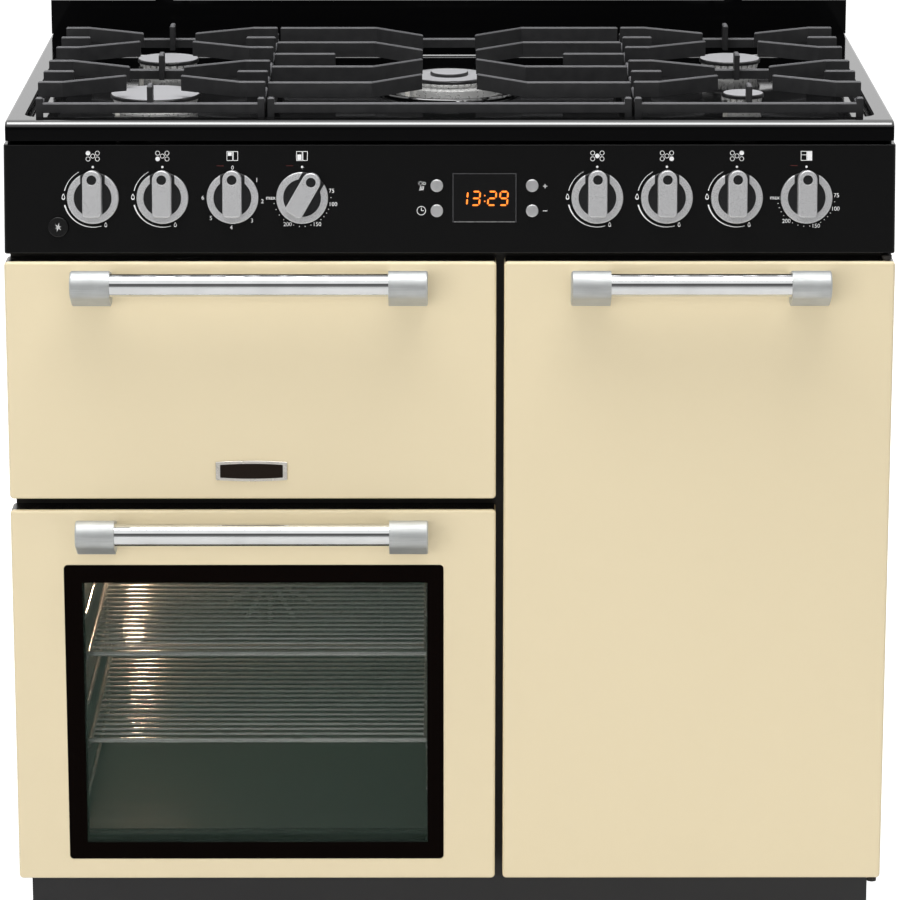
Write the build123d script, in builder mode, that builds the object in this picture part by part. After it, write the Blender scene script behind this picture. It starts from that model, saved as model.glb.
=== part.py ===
from build123d import *
import os
from math import atan2, cos, degrees, pi, sin, tan

# A free-standing dual fuel range cooker: a gas hob with a glass lid over a grill, a main
# oven and a tall oven. +Z is up, -Y is the front and +X is the right as one faces it.
# The origin is on the floor, under the middle of the cooker's bounding box.

# Overall sizes
overall_width = 898.0
overall_depth = 600.0
hob_height = 900.0
body_depth = 585.0
leg_height = 92.0

# Sheet metal and clearances
sheet = 2.0
liner_sheet = 1.5
moving_gap = 0.3
running_gap = 0.05
overrun = 5.0

# Doors
door_depth = 30.0
door_bottom_gap = 11.0
door_top_gap = 7.0
left_door_share = 0.5523385
oven_door_share = 0.6170543
door_side_gap = 8.0
door_stack_gap = 12.0
door_corner_radius = 4.0
door_edge_radius = 3.0
frame_gap = 8.0

# Handles
handle_standoff = 32.0
handle_drop = 17.0
bar_radius = 11.5
bracket_radius = 14.5
bracket_width = 39.5
bracket_end_wall = 3.0
bracket_edge_radius = 2.0
bracket_foot_drop = 24.0
bracket_foot_reach = 19.0
bracket_foot_rise = 6.0
left_handle_inset = 69.0
tall_handle_inset = 67.0

# Oven window
window_side_margin = 53.5
window_top_margin = 58.0
window_rise = 22.0
window_corner_radius = 4.0
window_recess = 0.5
glass_thickness = 4.0
window_ledge = 10.0
window_rim = 6.0
view_side_margin = 17.5
view_top_margin = 19.0
view_rise = 40.0
inner_glass_margin = 10.0

# Door hinges
drop_hinge_setback = 16.0
drop_hinge_rise = 15.0
hinge_block_width = 8.0
hinge_block_height = 26.0
hinge_lug_width = 6.0
hinge_lug_radius = 7.0
hinge_lug_gap = 1.0
hinge_pin_radius = 4.0
swing_hinge_setback = 8.0
swing_hinge_inset = 8.0
pivot_plate_thickness = 3.0
pivot_plate_width = 10.0
pivot_pin_length = 8.0

# Oven and grill cavities
cavity_depth = 410.0
cavity_sill = 42.0
left_cavity_inset = 63.0
tall_cavity_inset = 52.0
cavity_top_margin = 25.0
main_cavity_top_margin = 21.0
liner_flange = 12.0
seal_width = 8.0
seal_clearance = 2.0
seal_edge_radius = 3.0

# Oven furniture
rack_wire_radius = 2.5
rack_wire_overlap = 1.0
rack_end_margin = 22.0
runner_pitch = 47.5
shelf_rod_radius = 3.0
shelf_wire_radius = 1.6
shelf_wire_pitch = 16.5
shelf_depth = 340.0
main_shelf_shares = (0.25, 0.75)
tall_shelf_shares = (0.25, 0.55, 0.9)
first_runner_rise = 37.0
last_runner_margin = 90.0

# Fan, heating elements and motors
fan_radius = 72.0
fan_depth = 22.0
fan_hub_radius = 14.0
fan_blade_count = 12
fan_blade_thickness = 1.5
fan_shaft_radius = 4.0
fan_cover_margin = 20.0
fan_cover_height = 230.0
fan_cover_depth = 46.0
fan_cover_corner = 12.0
motor_radius = 34.0
motor_length = 58.0
element_tube_radius = 3.25
ring_element_radius = 90.0
terminal_spread = 16.0
terminal_tail = 30.0
grill_element_drop = 16.0
grill_element_margin = 40.0
grill_element_runs = 6
run_bend_share = 0.45
grill_element_front = 60.0
grill_element_back = 360.0

# Grill pan
pan_side_margin = 15.0
pan_depth = 330.0
pan_height = 32.0
pan_front_margin = 30.0
pan_corner_radius = 16.0
pan_rim = 12.0
pan_ledge_rise = 62.0
pan_ledge_thickness = 3.0

# Casing
casing_side_inset = 3.0
casing_top_gap = 20.0
tray_thickness = 2.0
frame_flange = 30.0
plinth_setback = 45.0
plinth_floor_gap = 12.0
plinth_flange = 20.0
plinth_inset = 6.0
foot_radius = 20.0
foot_pad_height = 8.0
foot_stem_radius = 6.0
foot_stem_rise = 16.0
foot_side_inset = 46.0
foot_front_setback = 84.0
foot_back_setback = 545.0
foot_nut_radius = 12.0
foot_nut_height = 10.0
vent_length = 60.0
vent_height = 5.0
vent_pitch_x = 90.0
vent_pitch_z = 16.0
vent_columns = 6
vent_rows = 4
vent_drop = 200.0

# Control fascia
fascia_drop = 24.0
fascia_height = 109.0
fascia_low_inset = 7.0
fascia_lean = 16.0
fascia_flange_depth = 52.0
fascia_end_radius = 4.0
fascia_edge_radius = 1.5
shaft_hole_radius = 5.0

# Knobs, buttons and clock
knob_drop = 53.0
knob_shares = (0.7995546, 0.6436526, 0.4866370, 0.3307350)
knob_names = (
    "rear_left_burner",
    "front_left_burner",
    "grill",
    "main_oven",
    "wok_burner",
    "front_right_burner",
    "rear_right_burner",
    "tall_oven",
)
turned_knob = "main_oven"
turned_knob_angle = 30.0
knob_radius = 26.0
knob_ring_width = 7.0
knob_skirt_height = 5.0
knob_dish_depth = 2.0
knob_lift = 0.8
grip_width = 18.9
grip_top_reach = 28.0
grip_bottom_reach = 19.1
grip_height = 20.0
grip_corner_radius = 4.0
grip_edge_radius = 1.2
dimple_radius = 4.9
dimple_depth = 1.5
shaft_radius = 3.0
shaft_engagement = 10.0
timer_button_places = ((-13.0, 12.0), (-13.0, -13.0), (83.0, 12.0), (83.0, -13.0))
timer_button_radius = 6.25
timer_button_proud = 3.2
spark_button_inset = 55.0
spark_button_drop = 29.0
spark_button_radius = 10.0
spark_button_proud = 5.0
button_travel = 2.5
button_tail = 7.0
button_edge_radius = 0.8
timer_window_middle_x = 35.0
timer_window_width = 65.0
timer_window_height = 50.0
timer_window_corner = 2.5
timer_window_proud = 0.8
clock_width = 128.0
clock_height = 56.0
clock_depth = 34.0

# Taps, switches and gas pipes
tap_radius = 11.0
tap_front_gap = 6.0
rail_setback = 47.0
rail_radius = 8.0
rail_left_reach = 13.0
rail_side_inset = 26.0
rail_bend_radius = 30.0
inlet_thread_radius = 10.478
inlet_thread_length = 15.0
inlet_collar_radius = 13.0
inlet_collar_length = 20.0
switch_width = 40.0
switch_height = 44.0
switch_depth = 36.0
pipe_radius = 4.0
pipe_bend_radius = 12.0
high_pipe_rise = 27.0
low_pipe_drop = 29.0
tap_outlet_setback = 20.0

# Hob
hob_side_inset = 2.0
hob_front_setback = 21.0
hob_sheet = 2.0
hob_front_radius = 9.0
hob_side_radius = 3.0
recess_depth = 10.0
recess_side_margin = 17.0
recess_front_setback = 45.0
recess_back_setback = 485.0
recess_corner_radius = 18.0
wok_rim_radius = 77.0
wok_rim_width = 6.0
wok_rim_height = 4.0

# Burners
front_burner_setback = 150.0
rear_burner_setback = 370.0
wok_setback = 260.0
side_burner_share = 0.6748330
front_left_radius = 46.5
front_right_radius = 21.5
rear_radius = 33.0
wok_radius = 42.0
cup_radius = 17.0
cup_depth = 54.0
burner_flange_height = 2.0
crown_height = 13.0
crown_taper_share = 0.9
crown_inset = 1.5
crown_slot_width = 1.8
crown_slot_depth = 4.0
crown_slot_spacing = 7.6
cap_thickness = 4.0
cap_edge_radius = 1.5
wok_outer_radius = 56.0
wok_outer_height = 8.0
wok_top_cap_radius = 20.0
wok_top_cap_thickness = 3.5
electrode_radius = 2.5
electrode_reach = 6.0
electrode_height = 12.0
electrode_depth = 30.0

# Pan supports
support_foot_height = 13.0
support_bar_height = 10.0
support_bar_width = 7.0
finger_rise = 30.0
finger_height = 16.0
finger_width = 5.5
support_front_setback = 55.0
support_back_setback = 465.0
support_gap = 3.0
side_support_shares = (0.9309577, 0.4164811)
side_finger_offset = 66.0
finger_tip_x = 28.0
finger_tip_offset = 27.0
side_finger_bend = 90.0
stub_length = 28.0
centre_finger_rows = ((80.5, 131.0), (179.0, 226.0), (336.0, 285.0), (435.0, 383.0))
centre_finger_bend = 79.0
centre_stub_reach = 120.0
rising_finger_length = 21.0
support_edge = 1.2

# Lid
upstand_height = 38.0
upstand_thickness = 20.0
lid_height = 548.0
lid_gap = 8.0
lid_thickness = 5.0
lid_corner_radius = 6.0
lid_axis_setback = 10.0
lid_axis_rise = 49.0
lid_hinge_inset = 129.0
lid_lug_width = 20.0
lid_lug_radius = 4.6
lid_pin_radius = 2.0
lid_ear_width = 10.0
lid_notch_margin = 2.0
lid_notch_rise = 7.0
lid_leaf_thickness = 2.0
lid_leaf_height = 60.0

# Supply
terminal_box_width = 80.0
terminal_box_height = 60.0
terminal_box_depth = 40.0
terminal_side_inset = 76.0
terminal_z = 170.0
gland_radius = 13.0
gland_length = 12.0
cable_hole_radius = 8.0
cable_hole_depth = 30.0

# Places that follow from the sizes above
half_width = overall_width / 2
half_casing = half_width - casing_side_inset
half_hob = half_width - hob_side_inset
recess_width = 2 * (half_hob - recess_side_margin)
front_y = (handle_standoff + bracket_radius - overall_depth) / 2
door_back_y = front_y + door_depth
frame_y = door_back_y + frame_gap
liner_y = frame_y + sheet
back_y = front_y + body_depth
rear_y = front_y + overall_depth
tray_z = leg_height + tray_thickness
casing_top_z = hob_height - casing_top_gap
fascia_top_z = hob_height - fascia_drop
fascia_low_z = fascia_top_z - fascia_height
knob_z = fascia_top_z - knob_drop
left_door_width = left_door_share * overall_width
left_door_x = (-half_width, left_door_width - half_width)
tall_door_x = (left_door_x[1] + door_side_gap, half_width)
door_bottom_z = leg_height + door_bottom_gap
door_top_z = fascia_low_z - door_top_gap
oven_door_height = oven_door_share * (door_top_z - door_bottom_z - door_stack_gap)
oven_door_z = (door_bottom_z, door_bottom_z + oven_door_height)
grill_door_z = (oven_door_z[1] + door_stack_gap, door_top_z)
tall_door_z = (door_bottom_z, door_top_z)
left_middle_x = sum(left_door_x) / 2
tall_middle_x = sum(tall_door_x) / 2
left_handle_length = left_door_width - 2 * left_handle_inset
tall_handle_length = half_width - tall_door_x[0] - 2 * tall_handle_inset
window_width = left_door_width - 2 * window_side_margin
window_height = oven_door_height - window_rise - window_top_margin
view_width = window_width - 2 * view_side_margin
view_height = window_rise + window_height - view_top_margin - view_rise
cavity_back_y = liner_y + cavity_depth
fascia_angle = atan2(fascia_lean, fascia_height)
fascia_back_y = front_y + fascia_flange_depth
recess_z = hob_height - recess_depth
lid_front_y = rear_y - upstand_thickness
lid_axis_y = lid_front_y + lid_axis_setback
lid_axis_z = hob_height + lid_axis_rise
lid_low_z = hob_height + upstand_height + lid_gap
lid_hinge_x = half_width - lid_hinge_inset
finger_top_z = hob_height + finger_rise
terminal_x = terminal_side_inset - half_casing


def cavity_behind(door_x, door_z, side_inset, top_margin):
    """Cavity behind a door: middle X, width, floor Z and height."""
    width = door_x[1] - door_x[0] - 2 * side_inset
    floor_z = door_z[0] + cavity_sill
    return (sum(door_x) / 2, width, floor_z, door_z[1] - top_margin - floor_z)


grill_cavity = cavity_behind(left_door_x, grill_door_z, left_cavity_inset, cavity_top_margin)
main_cavity = cavity_behind(left_door_x, oven_door_z, left_cavity_inset, main_cavity_top_margin)
tall_cavity = cavity_behind(tall_door_x, tall_door_z, tall_cavity_inset, cavity_top_margin)
cavities = (grill_cavity, main_cavity, tall_cavity)
pan_width = grill_cavity[1] - 2 * pan_side_margin
fan_cover_width = tall_cavity[1] - 2 * fan_cover_margin

# Each burner: middle X, setback of the middle, and cap radius
side_burner_x = side_burner_share * half_width
burners = {
    "rear_left_burner": (-side_burner_x, rear_burner_setback, rear_radius),
    "front_left_burner": (-side_burner_x, front_burner_setback, front_left_radius),
    "wok_burner": (0, wok_setback, wok_radius),
    "front_right_burner": (side_burner_x, front_burner_setback, front_right_radius),
    "rear_right_burner": (side_burner_x, rear_burner_setback, rear_radius),
}
knob_places = [-share * half_width for share in knob_shares]
knob_places += [share * half_width for share in reversed(knob_shares)]
spark_button_place = (spark_button_inset - half_width, knob_z - spark_button_drop)

os.makedirs("parts", exist_ok=True)


def write_piece(piece, name):
    """Label a finished piece and write it as the node of that name."""
    piece.part.label = name
    export_step(piece.part, f"parts/{name}.step")


def block(low, high, mode=Mode.ADD):
    """Box between two corners."""
    size = [b - a for a, b in zip(low, high)]
    with Locations(tuple(low)):
        Box(*size, align=(Align.MIN, Align.MIN, Align.MIN), mode=mode)


def rod(start, direction, length, radius, mode=Mode.ADD):
    """Round bar from a point along a direction."""
    with Locations(Plane(origin=start, z_dir=direction).location):
        return Cylinder(radius, length, align=(Align.CENTER, Align.CENTER, Align.MIN), mode=mode)


def rod_between(start, end, radius, mode=Mode.ADD):
    """Round bar between two points."""
    along = Vector(*end) - Vector(*start)
    return rod(start, along, along.length, radius, mode)


def prism_along_x(points, low_x, high_x, mode=Mode.ADD):
    """Outline in (Y, Z) carried from one X to another."""
    with BuildSketch(Plane.YZ.offset(low_x)) as profile:
        with BuildLine():
            Polyline(*points, close=True)
        make_face()
    extrude(profile.sketch, amount=high_x - low_x, mode=mode)


def front_slab(middle, size, low_y, high_y, corner=0, mode=Mode.ADD):
    """Plate facing the front: middle (X, Z), size (width, height), rounded corners."""
    plane = Plane(origin=(middle[0], high_y, middle[1]), x_dir=(1, 0, 0), z_dir=(0, -1, 0))
    with BuildSketch(plane) as profile:
        if corner > 0:
            RectangleRounded(*size, corner)
        else:
            Rectangle(*size)
    extrude(profile.sketch, amount=high_y - low_y, mode=mode)


def tube_along(points, bends, radius, mode=Mode.ADD):
    """Round tube along straight runs with tangent bends."""
    with BuildLine() as route:
        FilletPolyline(*points, radius=bends)
    start = Plane(origin=route.line @ 0, z_dir=route.line % 0)
    with BuildSketch(start) as section:
        Circle(radius)
    sweep(section.sketch, path=route.line, mode=mode)


def fascia_plane(x, z, lift=0.0):
    """Plane on the sloping fascia at a place, lifted along its outward normal."""
    face_y = front_y + fascia_low_inset + (z - fascia_low_z) * tan(fascia_angle)
    origin = (x, face_y - lift * cos(fascia_angle), z + lift * sin(fascia_angle))
    return Plane(origin=origin, x_dir=(1, 0, 0), z_dir=(0, -cos(fascia_angle), sin(fascia_angle)))


def fascia_bar(x, z, low, high, radius, mode=Mode.ADD):
    """Round bar square to the fascia, between two lifts above its face."""
    plane = fascia_plane(x, z, low)
    rod(plane.origin, plane.z_dir, high - low, radius, mode)


def cavity_middle(cavity):
    """Middle of a cavity's mouth as (X, Z)."""
    return (cavity[0], cavity[2] + cavity[3] / 2)


def cavity_size(cavity, margin=0.0):
    """Width and height of a cavity's mouth, grown by a margin all round."""
    return (cavity[1] + 2 * margin, cavity[3] + 2 * margin)


def inward_span(edge, inward, near, far):
    """Low and high X of a stretch measured inward from a door's side."""
    return sorted((edge + inward * near, edge + inward * far))


def door_sides(door_x):
    """Each side of a door as its X and the direction to its middle."""
    return ((door_x[0], 1), (door_x[1], -1))


# Casing
with BuildPart() as outer_panels:
    for side in (-1, 1):
        panel_x = sorted((side * half_casing, side * (half_casing - sheet)))
        panel_back_y = back_y - sheet - moving_gap
        block((panel_x[0], liner_y, leg_height), (panel_x[1], panel_back_y, casing_top_z))
    block((-half_casing, back_y - sheet, leg_height), (half_casing, back_y, casing_top_z))
    rail_plane = fascia_plane(0, knob_z, -rail_setback)
    rail_y = rail_plane.origin.Y
    rail_z = rail_plane.origin.Z
    rail_side_x = half_casing - sheet - rail_side_inset
    panel_hole = inlet_collar_radius + moving_gap
    hole_y = back_y - sheet - overrun
    hole_length = sheet + 2 * overrun
    rod((rail_side_x, hole_y, rail_z), (0, 1, 0), hole_length, panel_hole, Mode.SUBTRACT)
    gland_hole = gland_radius + moving_gap
    rod((terminal_x, hole_y, terminal_z), (0, 1, 0), hole_length, gland_hole, Mode.SUBTRACT)
    vent_plane = Plane(origin=(0, back_y, hob_height - vent_drop), x_dir=(1, 0, 0), z_dir=(0, -1, 0))
    with BuildSketch(vent_plane) as vents:
        with GridLocations(vent_pitch_x, vent_pitch_z, vent_columns, vent_rows):
            SlotOverall(vent_length, vent_height)
    extrude(amount=2 * sheet, mode=Mode.SUBTRACT)
write_piece(outer_panels, "outer_panels")

foot_x = half_casing - foot_side_inset
foot_places = [
    (x, front_y + setback)
    for x in (-foot_x, foot_x)
    for setback in (foot_front_setback, foot_back_setback)
]

with BuildPart() as base_tray:
    tray_x = half_casing - sheet
    block((-tray_x, liner_y, leg_height), (tray_x, back_y - sheet, tray_z))
    with BuildSketch(Plane.XY.offset(tray_z)):
        with Locations(*foot_places):
            RegularPolygon(foot_nut_radius, 6)
    extrude(amount=foot_nut_height)
    for x, y in foot_places:
        stem_hole = foot_stem_radius + running_gap
        hole_height = tray_thickness + foot_nut_height + 2 * overrun
        rod((x, y, leg_height - overrun), (0, 0, 1), hole_height, stem_hole, Mode.SUBTRACT)
write_piece(base_tray, "base_tray")

with BuildPart() as levelling_feet:
    for x, y in foot_places:
        rod((x, y, 0), (0, 0, 1), foot_pad_height, foot_radius)
        stem_length = tray_z + foot_stem_rise - foot_pad_height
        rod((x, y, foot_pad_height), (0, 0, 1), stem_length, foot_stem_radius)
write_piece(levelling_feet, "levelling_feet")

with BuildPart() as plinth:
    plinth_y = front_y + plinth_setback
    plinth_x = half_casing - plinth_inset
    block((-plinth_x, plinth_y, plinth_floor_gap), (plinth_x, plinth_y + sheet, leg_height))
    block(
        (-plinth_x, plinth_y + sheet, leg_height - sheet),
        (plinth_x, plinth_y + sheet + plinth_flange, leg_height),
    )
write_piece(plinth, "plinth")

drop_axis_y = front_y + drop_hinge_setback
swing_axis = (half_width - swing_hinge_inset, front_y + swing_hinge_setback)
lug_near = sheet + hinge_block_width + hinge_lug_gap
lug_far = lug_near + hinge_lug_width
pivot_gap = (fascia_low_z - door_top_z - pivot_plate_thickness) / 2

with BuildPart() as front_frame:
    block((-half_casing, frame_y, leg_height), (half_casing, liner_y, fascia_low_z))
    flange_x = half_casing - sheet
    block((-flange_x, liner_y, fascia_low_z - sheet), (flange_x, liner_y + frame_flange, fascia_low_z))
    for cavity in cavities:
        front_slab(cavity_middle(cavity), cavity_size(cavity), frame_y, liner_y, mode=Mode.SUBTRACT)
    for axis_z in (grill_door_z[0] + drop_hinge_rise, oven_door_z[0] + drop_hinge_rise):
        for side_x, inward in door_sides(left_door_x):
            lug_x = inward_span(side_x, inward, lug_near, lug_far)
            block(
                (lug_x[0], drop_axis_y, axis_z - hinge_lug_radius),
                (lug_x[1], frame_y, axis_z + hinge_lug_radius),
            )
            rod((lug_x[0], drop_axis_y, axis_z), (1, 0, 0), hinge_lug_width, hinge_lug_radius)
            pin_start = side_x + inward * (sheet + moving_gap)
            pin_length = lug_near - sheet - moving_gap
            rod((pin_start, drop_axis_y, axis_z), (inward, 0, 0), pin_length, hinge_pin_radius)
    for plate_z, pin_rise in (
        (door_top_z + pivot_gap, -pivot_pin_length),
        (door_bottom_z - pivot_gap - pivot_plate_thickness, pivot_pin_length),
    ):
        plate_half = pivot_plate_width / 2
        block(
            (swing_axis[0] - plate_half, swing_axis[1], plate_z),
            (swing_axis[0] + plate_half, frame_y, plate_z + pivot_plate_thickness),
        )
        rod((*swing_axis, plate_z), (0, 0, 1), pivot_plate_thickness, plate_half)
        pin_z = plate_z if pin_rise < 0 else plate_z + pivot_plate_thickness
        rod((*swing_axis, pin_z), (0, 0, pin_rise), pivot_pin_length, hinge_pin_radius)
write_piece(front_frame, "front_frame")


# Doors
def add_door_pan(door_x, door_z):
    """Pressed door skin with folded sides, open at the back."""
    middle = (sum(door_x) / 2, sum(door_z) / 2)
    size = (door_x[1] - door_x[0], door_z[1] - door_z[0])
    front_slab(middle, size, front_y, door_back_y, door_corner_radius)


def hollow_door_pan(door_x, door_z):
    """Clear the space behind a door's skin."""
    block(
        (door_x[0] + sheet, front_y + sheet, door_z[0] + sheet),
        (door_x[1] - sheet, door_back_y + overrun, door_z[1] - sheet),
        Mode.SUBTRACT,
    )


def add_drop_hinge_blocks(door_x, door_z):
    """Bored blocks in the bottom corners of a door that drops forward."""
    axis_z = door_z[0] + drop_hinge_rise
    for side_x, inward in door_sides(door_x):
        span = inward_span(side_x, inward, sheet, sheet + hinge_block_width)
        block(
            (span[0], front_y + sheet, door_z[0] + sheet),
            (span[1], door_back_y - sheet, door_z[0] + hinge_block_height),
        )
        start = (side_x + inward * sheet, drop_axis_y, axis_z)
        bore_radius = hinge_pin_radius + running_gap
        rod(start, (inward, 0, 0), hinge_block_width + overrun, bore_radius, Mode.SUBTRACT)


def cut_lug_notches(door_x, door_z):
    """Clear the way of the frame's hinge lugs through the foot of a door."""
    reach = hinge_lug_radius + hinge_lug_gap
    axis_z = door_z[0] + drop_hinge_rise
    for side_x, inward in door_sides(door_x):
        span = inward_span(side_x, inward, lug_near - hinge_lug_gap, lug_far + hinge_lug_gap)
        block(
            (span[0], drop_axis_y - reach, door_z[0] - overrun),
            (span[1], door_back_y + overrun, axis_z + reach),
            Mode.SUBTRACT,
        )


def add_inner_panel(door_x, door_z):
    """Flat panel that closes the back of a door."""
    block(
        (door_x[0] + sheet, door_back_y - sheet, door_z[0] + sheet),
        (door_x[1] - sheet, door_back_y, door_z[1] - sheet),
    )


def handle_axis(door_z):
    """Y and Z of a handle bar's middle line."""
    return (front_y - handle_standoff, door_z[1] - handle_drop)


def add_handle_bar(middle_x, length, door_z):
    """Round bar whose ends sit in the brackets."""
    axis_y, axis_z = handle_axis(door_z)
    bar_half = length / 2 - bracket_end_wall
    rod((middle_x - bar_half, axis_y, axis_z), (1, 0, 0), 2 * bar_half, bar_radius)


def add_handle_brackets(middle_x, length, door_z):
    """Two cast brackets that carry a handle bar off the door."""
    axis_y, axis_z = handle_axis(door_z)
    for side in (-1, 1):
        outer_x = middle_x + side * length / 2
        inner_x = outer_x - side * bracket_width
        low_x = min(outer_x, inner_x)
        with BuildSketch(Plane.YZ.offset(low_x)) as profile:
            with Locations((axis_y, axis_z)):
                Circle(bracket_radius)
            with BuildLine():
                Polyline(
                    (front_y, axis_z - bracket_foot_drop),
                    (front_y - bracket_foot_reach, axis_z - bracket_foot_drop),
                    (front_y - bracket_foot_reach, axis_z),
                    (front_y, axis_z + bracket_foot_rise),
                    close=True,
                )
            make_face()
            make_hull()
        extrude(profile.sketch, amount=bracket_width)
        bore_start = (inner_x - side * overrun, axis_y, axis_z)
        bore_length = bracket_width - bracket_end_wall + overrun
        bore_radius = bar_radius + running_gap
        rod(bore_start, (side, 0, 0), bore_length, bore_radius, Mode.SUBTRACT)


def round_bracket_ends(brackets):
    """Soften the outer side edges of the brackets."""
    faces = brackets.faces().filter_by(Axis.X).sort_by(Axis.X)
    for face in (faces[0], faces[-1]):
        rims = face.outer_wire().edges().filter_by(lambda edge: edge.center().Y < front_y)
        fillet(rims, bracket_edge_radius)


with BuildPart() as grill_door_panel:
    add_door_pan(left_door_x, grill_door_z)
    fillet(grill_door_panel.faces().sort_by(Axis.Y)[0].edges(), door_edge_radius)
    hollow_door_pan(left_door_x, grill_door_z)
    add_drop_hinge_blocks(left_door_x, grill_door_z)
    cut_lug_notches(left_door_x, grill_door_z)
write_piece(grill_door_panel, "grill_door_panel")

with BuildPart() as grill_door_inner:
    add_inner_panel(left_door_x, grill_door_z)
    cut_lug_notches(left_door_x, grill_door_z)
write_piece(grill_door_inner, "grill_door_inner")

with BuildPart() as grill_handle_bar:
    add_handle_bar(left_middle_x, left_handle_length, grill_door_z)
write_piece(grill_handle_bar, "grill_handle_bar")

with BuildPart() as grill_handle_brackets:
    add_handle_brackets(left_middle_x, left_handle_length, grill_door_z)
    round_bracket_ends(grill_handle_brackets)
write_piece(grill_handle_brackets, "grill_handle_brackets")

window_middle = (left_middle_x, oven_door_z[0] + window_rise + window_height / 2)
view_middle = (left_middle_x, oven_door_z[0] + view_rise + view_height / 2)
glass_front_y = front_y + window_recess
glass_back_y = glass_front_y + glass_thickness


def window_size(margin):
    """Width and height of the oven window, grown by a margin all round."""
    return (window_width + 2 * margin, window_height + 2 * margin)


with BuildPart() as oven_door_panel:
    add_door_pan(left_door_x, oven_door_z)
    fillet(oven_door_panel.faces().sort_by(Axis.Y)[0].edges(), door_edge_radius)
    hollow_door_pan(left_door_x, oven_door_z)
    rim_y = (front_y + sheet, glass_back_y + sheet)
    front_slab(window_middle, window_size(window_rim), *rim_y, window_corner_radius)
    hole_y = (front_y - overrun, glass_back_y)
    hole_radius = window_corner_radius + moving_gap
    front_slab(window_middle, window_size(moving_gap), *hole_y, hole_radius, Mode.SUBTRACT)
    front_slab(
        window_middle,
        window_size(-window_ledge),
        front_y,
        glass_back_y + sheet + overrun,
        window_corner_radius,
        Mode.SUBTRACT,
    )
    add_drop_hinge_blocks(left_door_x, oven_door_z)
    cut_lug_notches(left_door_x, oven_door_z)
write_piece(oven_door_panel, "oven_door_panel")

with BuildPart() as oven_door_glass:
    front_slab(window_middle, window_size(0), glass_front_y, glass_back_y, window_corner_radius)
    inner_glass = (view_width + 2 * inner_glass_margin, view_height + 2 * inner_glass_margin)
    inner_glass_y = (door_back_y - sheet - glass_thickness, door_back_y - sheet)
    front_slab(view_middle, inner_glass, *inner_glass_y, window_corner_radius)
write_piece(oven_door_glass, "oven_door_glass")

with BuildPart() as oven_door_inner:
    add_inner_panel(left_door_x, oven_door_z)
    inner_hole = (view_width, view_height)
    front_slab(
        view_middle,
        inner_hole,
        door_back_y - sheet - overrun,
        door_back_y + overrun,
        window_corner_radius,
        Mode.SUBTRACT,
    )
    cut_lug_notches(left_door_x, oven_door_z)
write_piece(oven_door_inner, "oven_door_inner")

with BuildPart() as oven_handle_bar:
    add_handle_bar(left_middle_x, left_handle_length, oven_door_z)
write_piece(oven_handle_bar, "oven_handle_bar")

with BuildPart() as oven_handle_brackets:
    add_handle_brackets(left_middle_x, left_handle_length, oven_door_z)
    round_bracket_ends(oven_handle_brackets)
write_piece(oven_handle_brackets, "oven_handle_brackets")

with BuildPart() as tall_door_panel:
    add_door_pan(tall_door_x, tall_door_z)
    fillet(tall_door_panel.faces().sort_by(Axis.Y)[0].edges(), door_edge_radius)
    hollow_door_pan(tall_door_x, tall_door_z)
    for edge_z, inward in ((tall_door_z[0], 1), (tall_door_z[1], -1)):
        block_z = sorted((edge_z + inward * sheet, edge_z + inward * (sheet + hinge_block_width)))
        block(
            (swing_axis[0] - hinge_block_height / 2, front_y + sheet, block_z[0]),
            (half_width - sheet, door_back_y - sheet, block_z[1]),
        )
        bore_start = (*swing_axis, edge_z - inward * overrun)
        bore_depth = overrun + sheet + hinge_block_width
        rod(bore_start, (0, 0, inward), bore_depth, hinge_pin_radius + running_gap, Mode.SUBTRACT)
write_piece(tall_door_panel, "tall_door_panel")

with BuildPart() as tall_door_inner:
    add_inner_panel(tall_door_x, tall_door_z)
write_piece(tall_door_inner, "tall_door_inner")

with BuildPart() as tall_handle_bar:
    add_handle_bar(tall_middle_x, tall_handle_length, tall_door_z)
write_piece(tall_handle_bar, "tall_handle_bar")

with BuildPart() as tall_handle_brackets:
    add_handle_brackets(tall_middle_x, tall_handle_length, tall_door_z)
    round_bracket_ends(tall_handle_brackets)
write_piece(tall_handle_brackets, "tall_handle_brackets")

with BuildPart() as door_seals:
    for cavity in cavities:
        seal_inner = cavity_size(cavity, seal_clearance)
        seal_outer = cavity_size(cavity, seal_clearance + seal_width)
        seal_front_y = door_back_y + moving_gap
        front_slab(cavity_middle(cavity), seal_outer, seal_front_y, frame_y, seal_width)
        front_slab(cavity_middle(cavity), seal_inner, seal_front_y - overrun, frame_y, mode=Mode.SUBTRACT)
    seal_rims = [face.edges() for face in door_seals.faces().filter_by(Axis.Y).group_by(Axis.Y)[0]]
    for rim in seal_rims:
        fillet(rim, seal_edge_radius)
write_piece(door_seals, "door_seals")


# Cavity linings
def add_liner(cavity):
    """Five-sided lining box behind the frame, with a flange round its mouth."""
    middle = cavity_middle(cavity)
    front_slab(middle, cavity_size(cavity, liner_sheet), liner_y, cavity_back_y + liner_sheet)
    front_slab(middle, cavity_size(cavity, liner_flange), liner_y, liner_y + liner_sheet)
    front_slab(middle, cavity_size(cavity), liner_y - overrun, cavity_back_y, mode=Mode.SUBTRACT)


def terminal_places(cavity):
    """X and Z of the two terminals of a cavity's ring element."""
    middle = cavity_middle(cavity)
    drop = (ring_element_radius**2 - (terminal_spread / 2) ** 2) ** 0.5
    return [(middle[0] + side * terminal_spread / 2, middle[1] - drop) for side in (-1, 1)]


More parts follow.
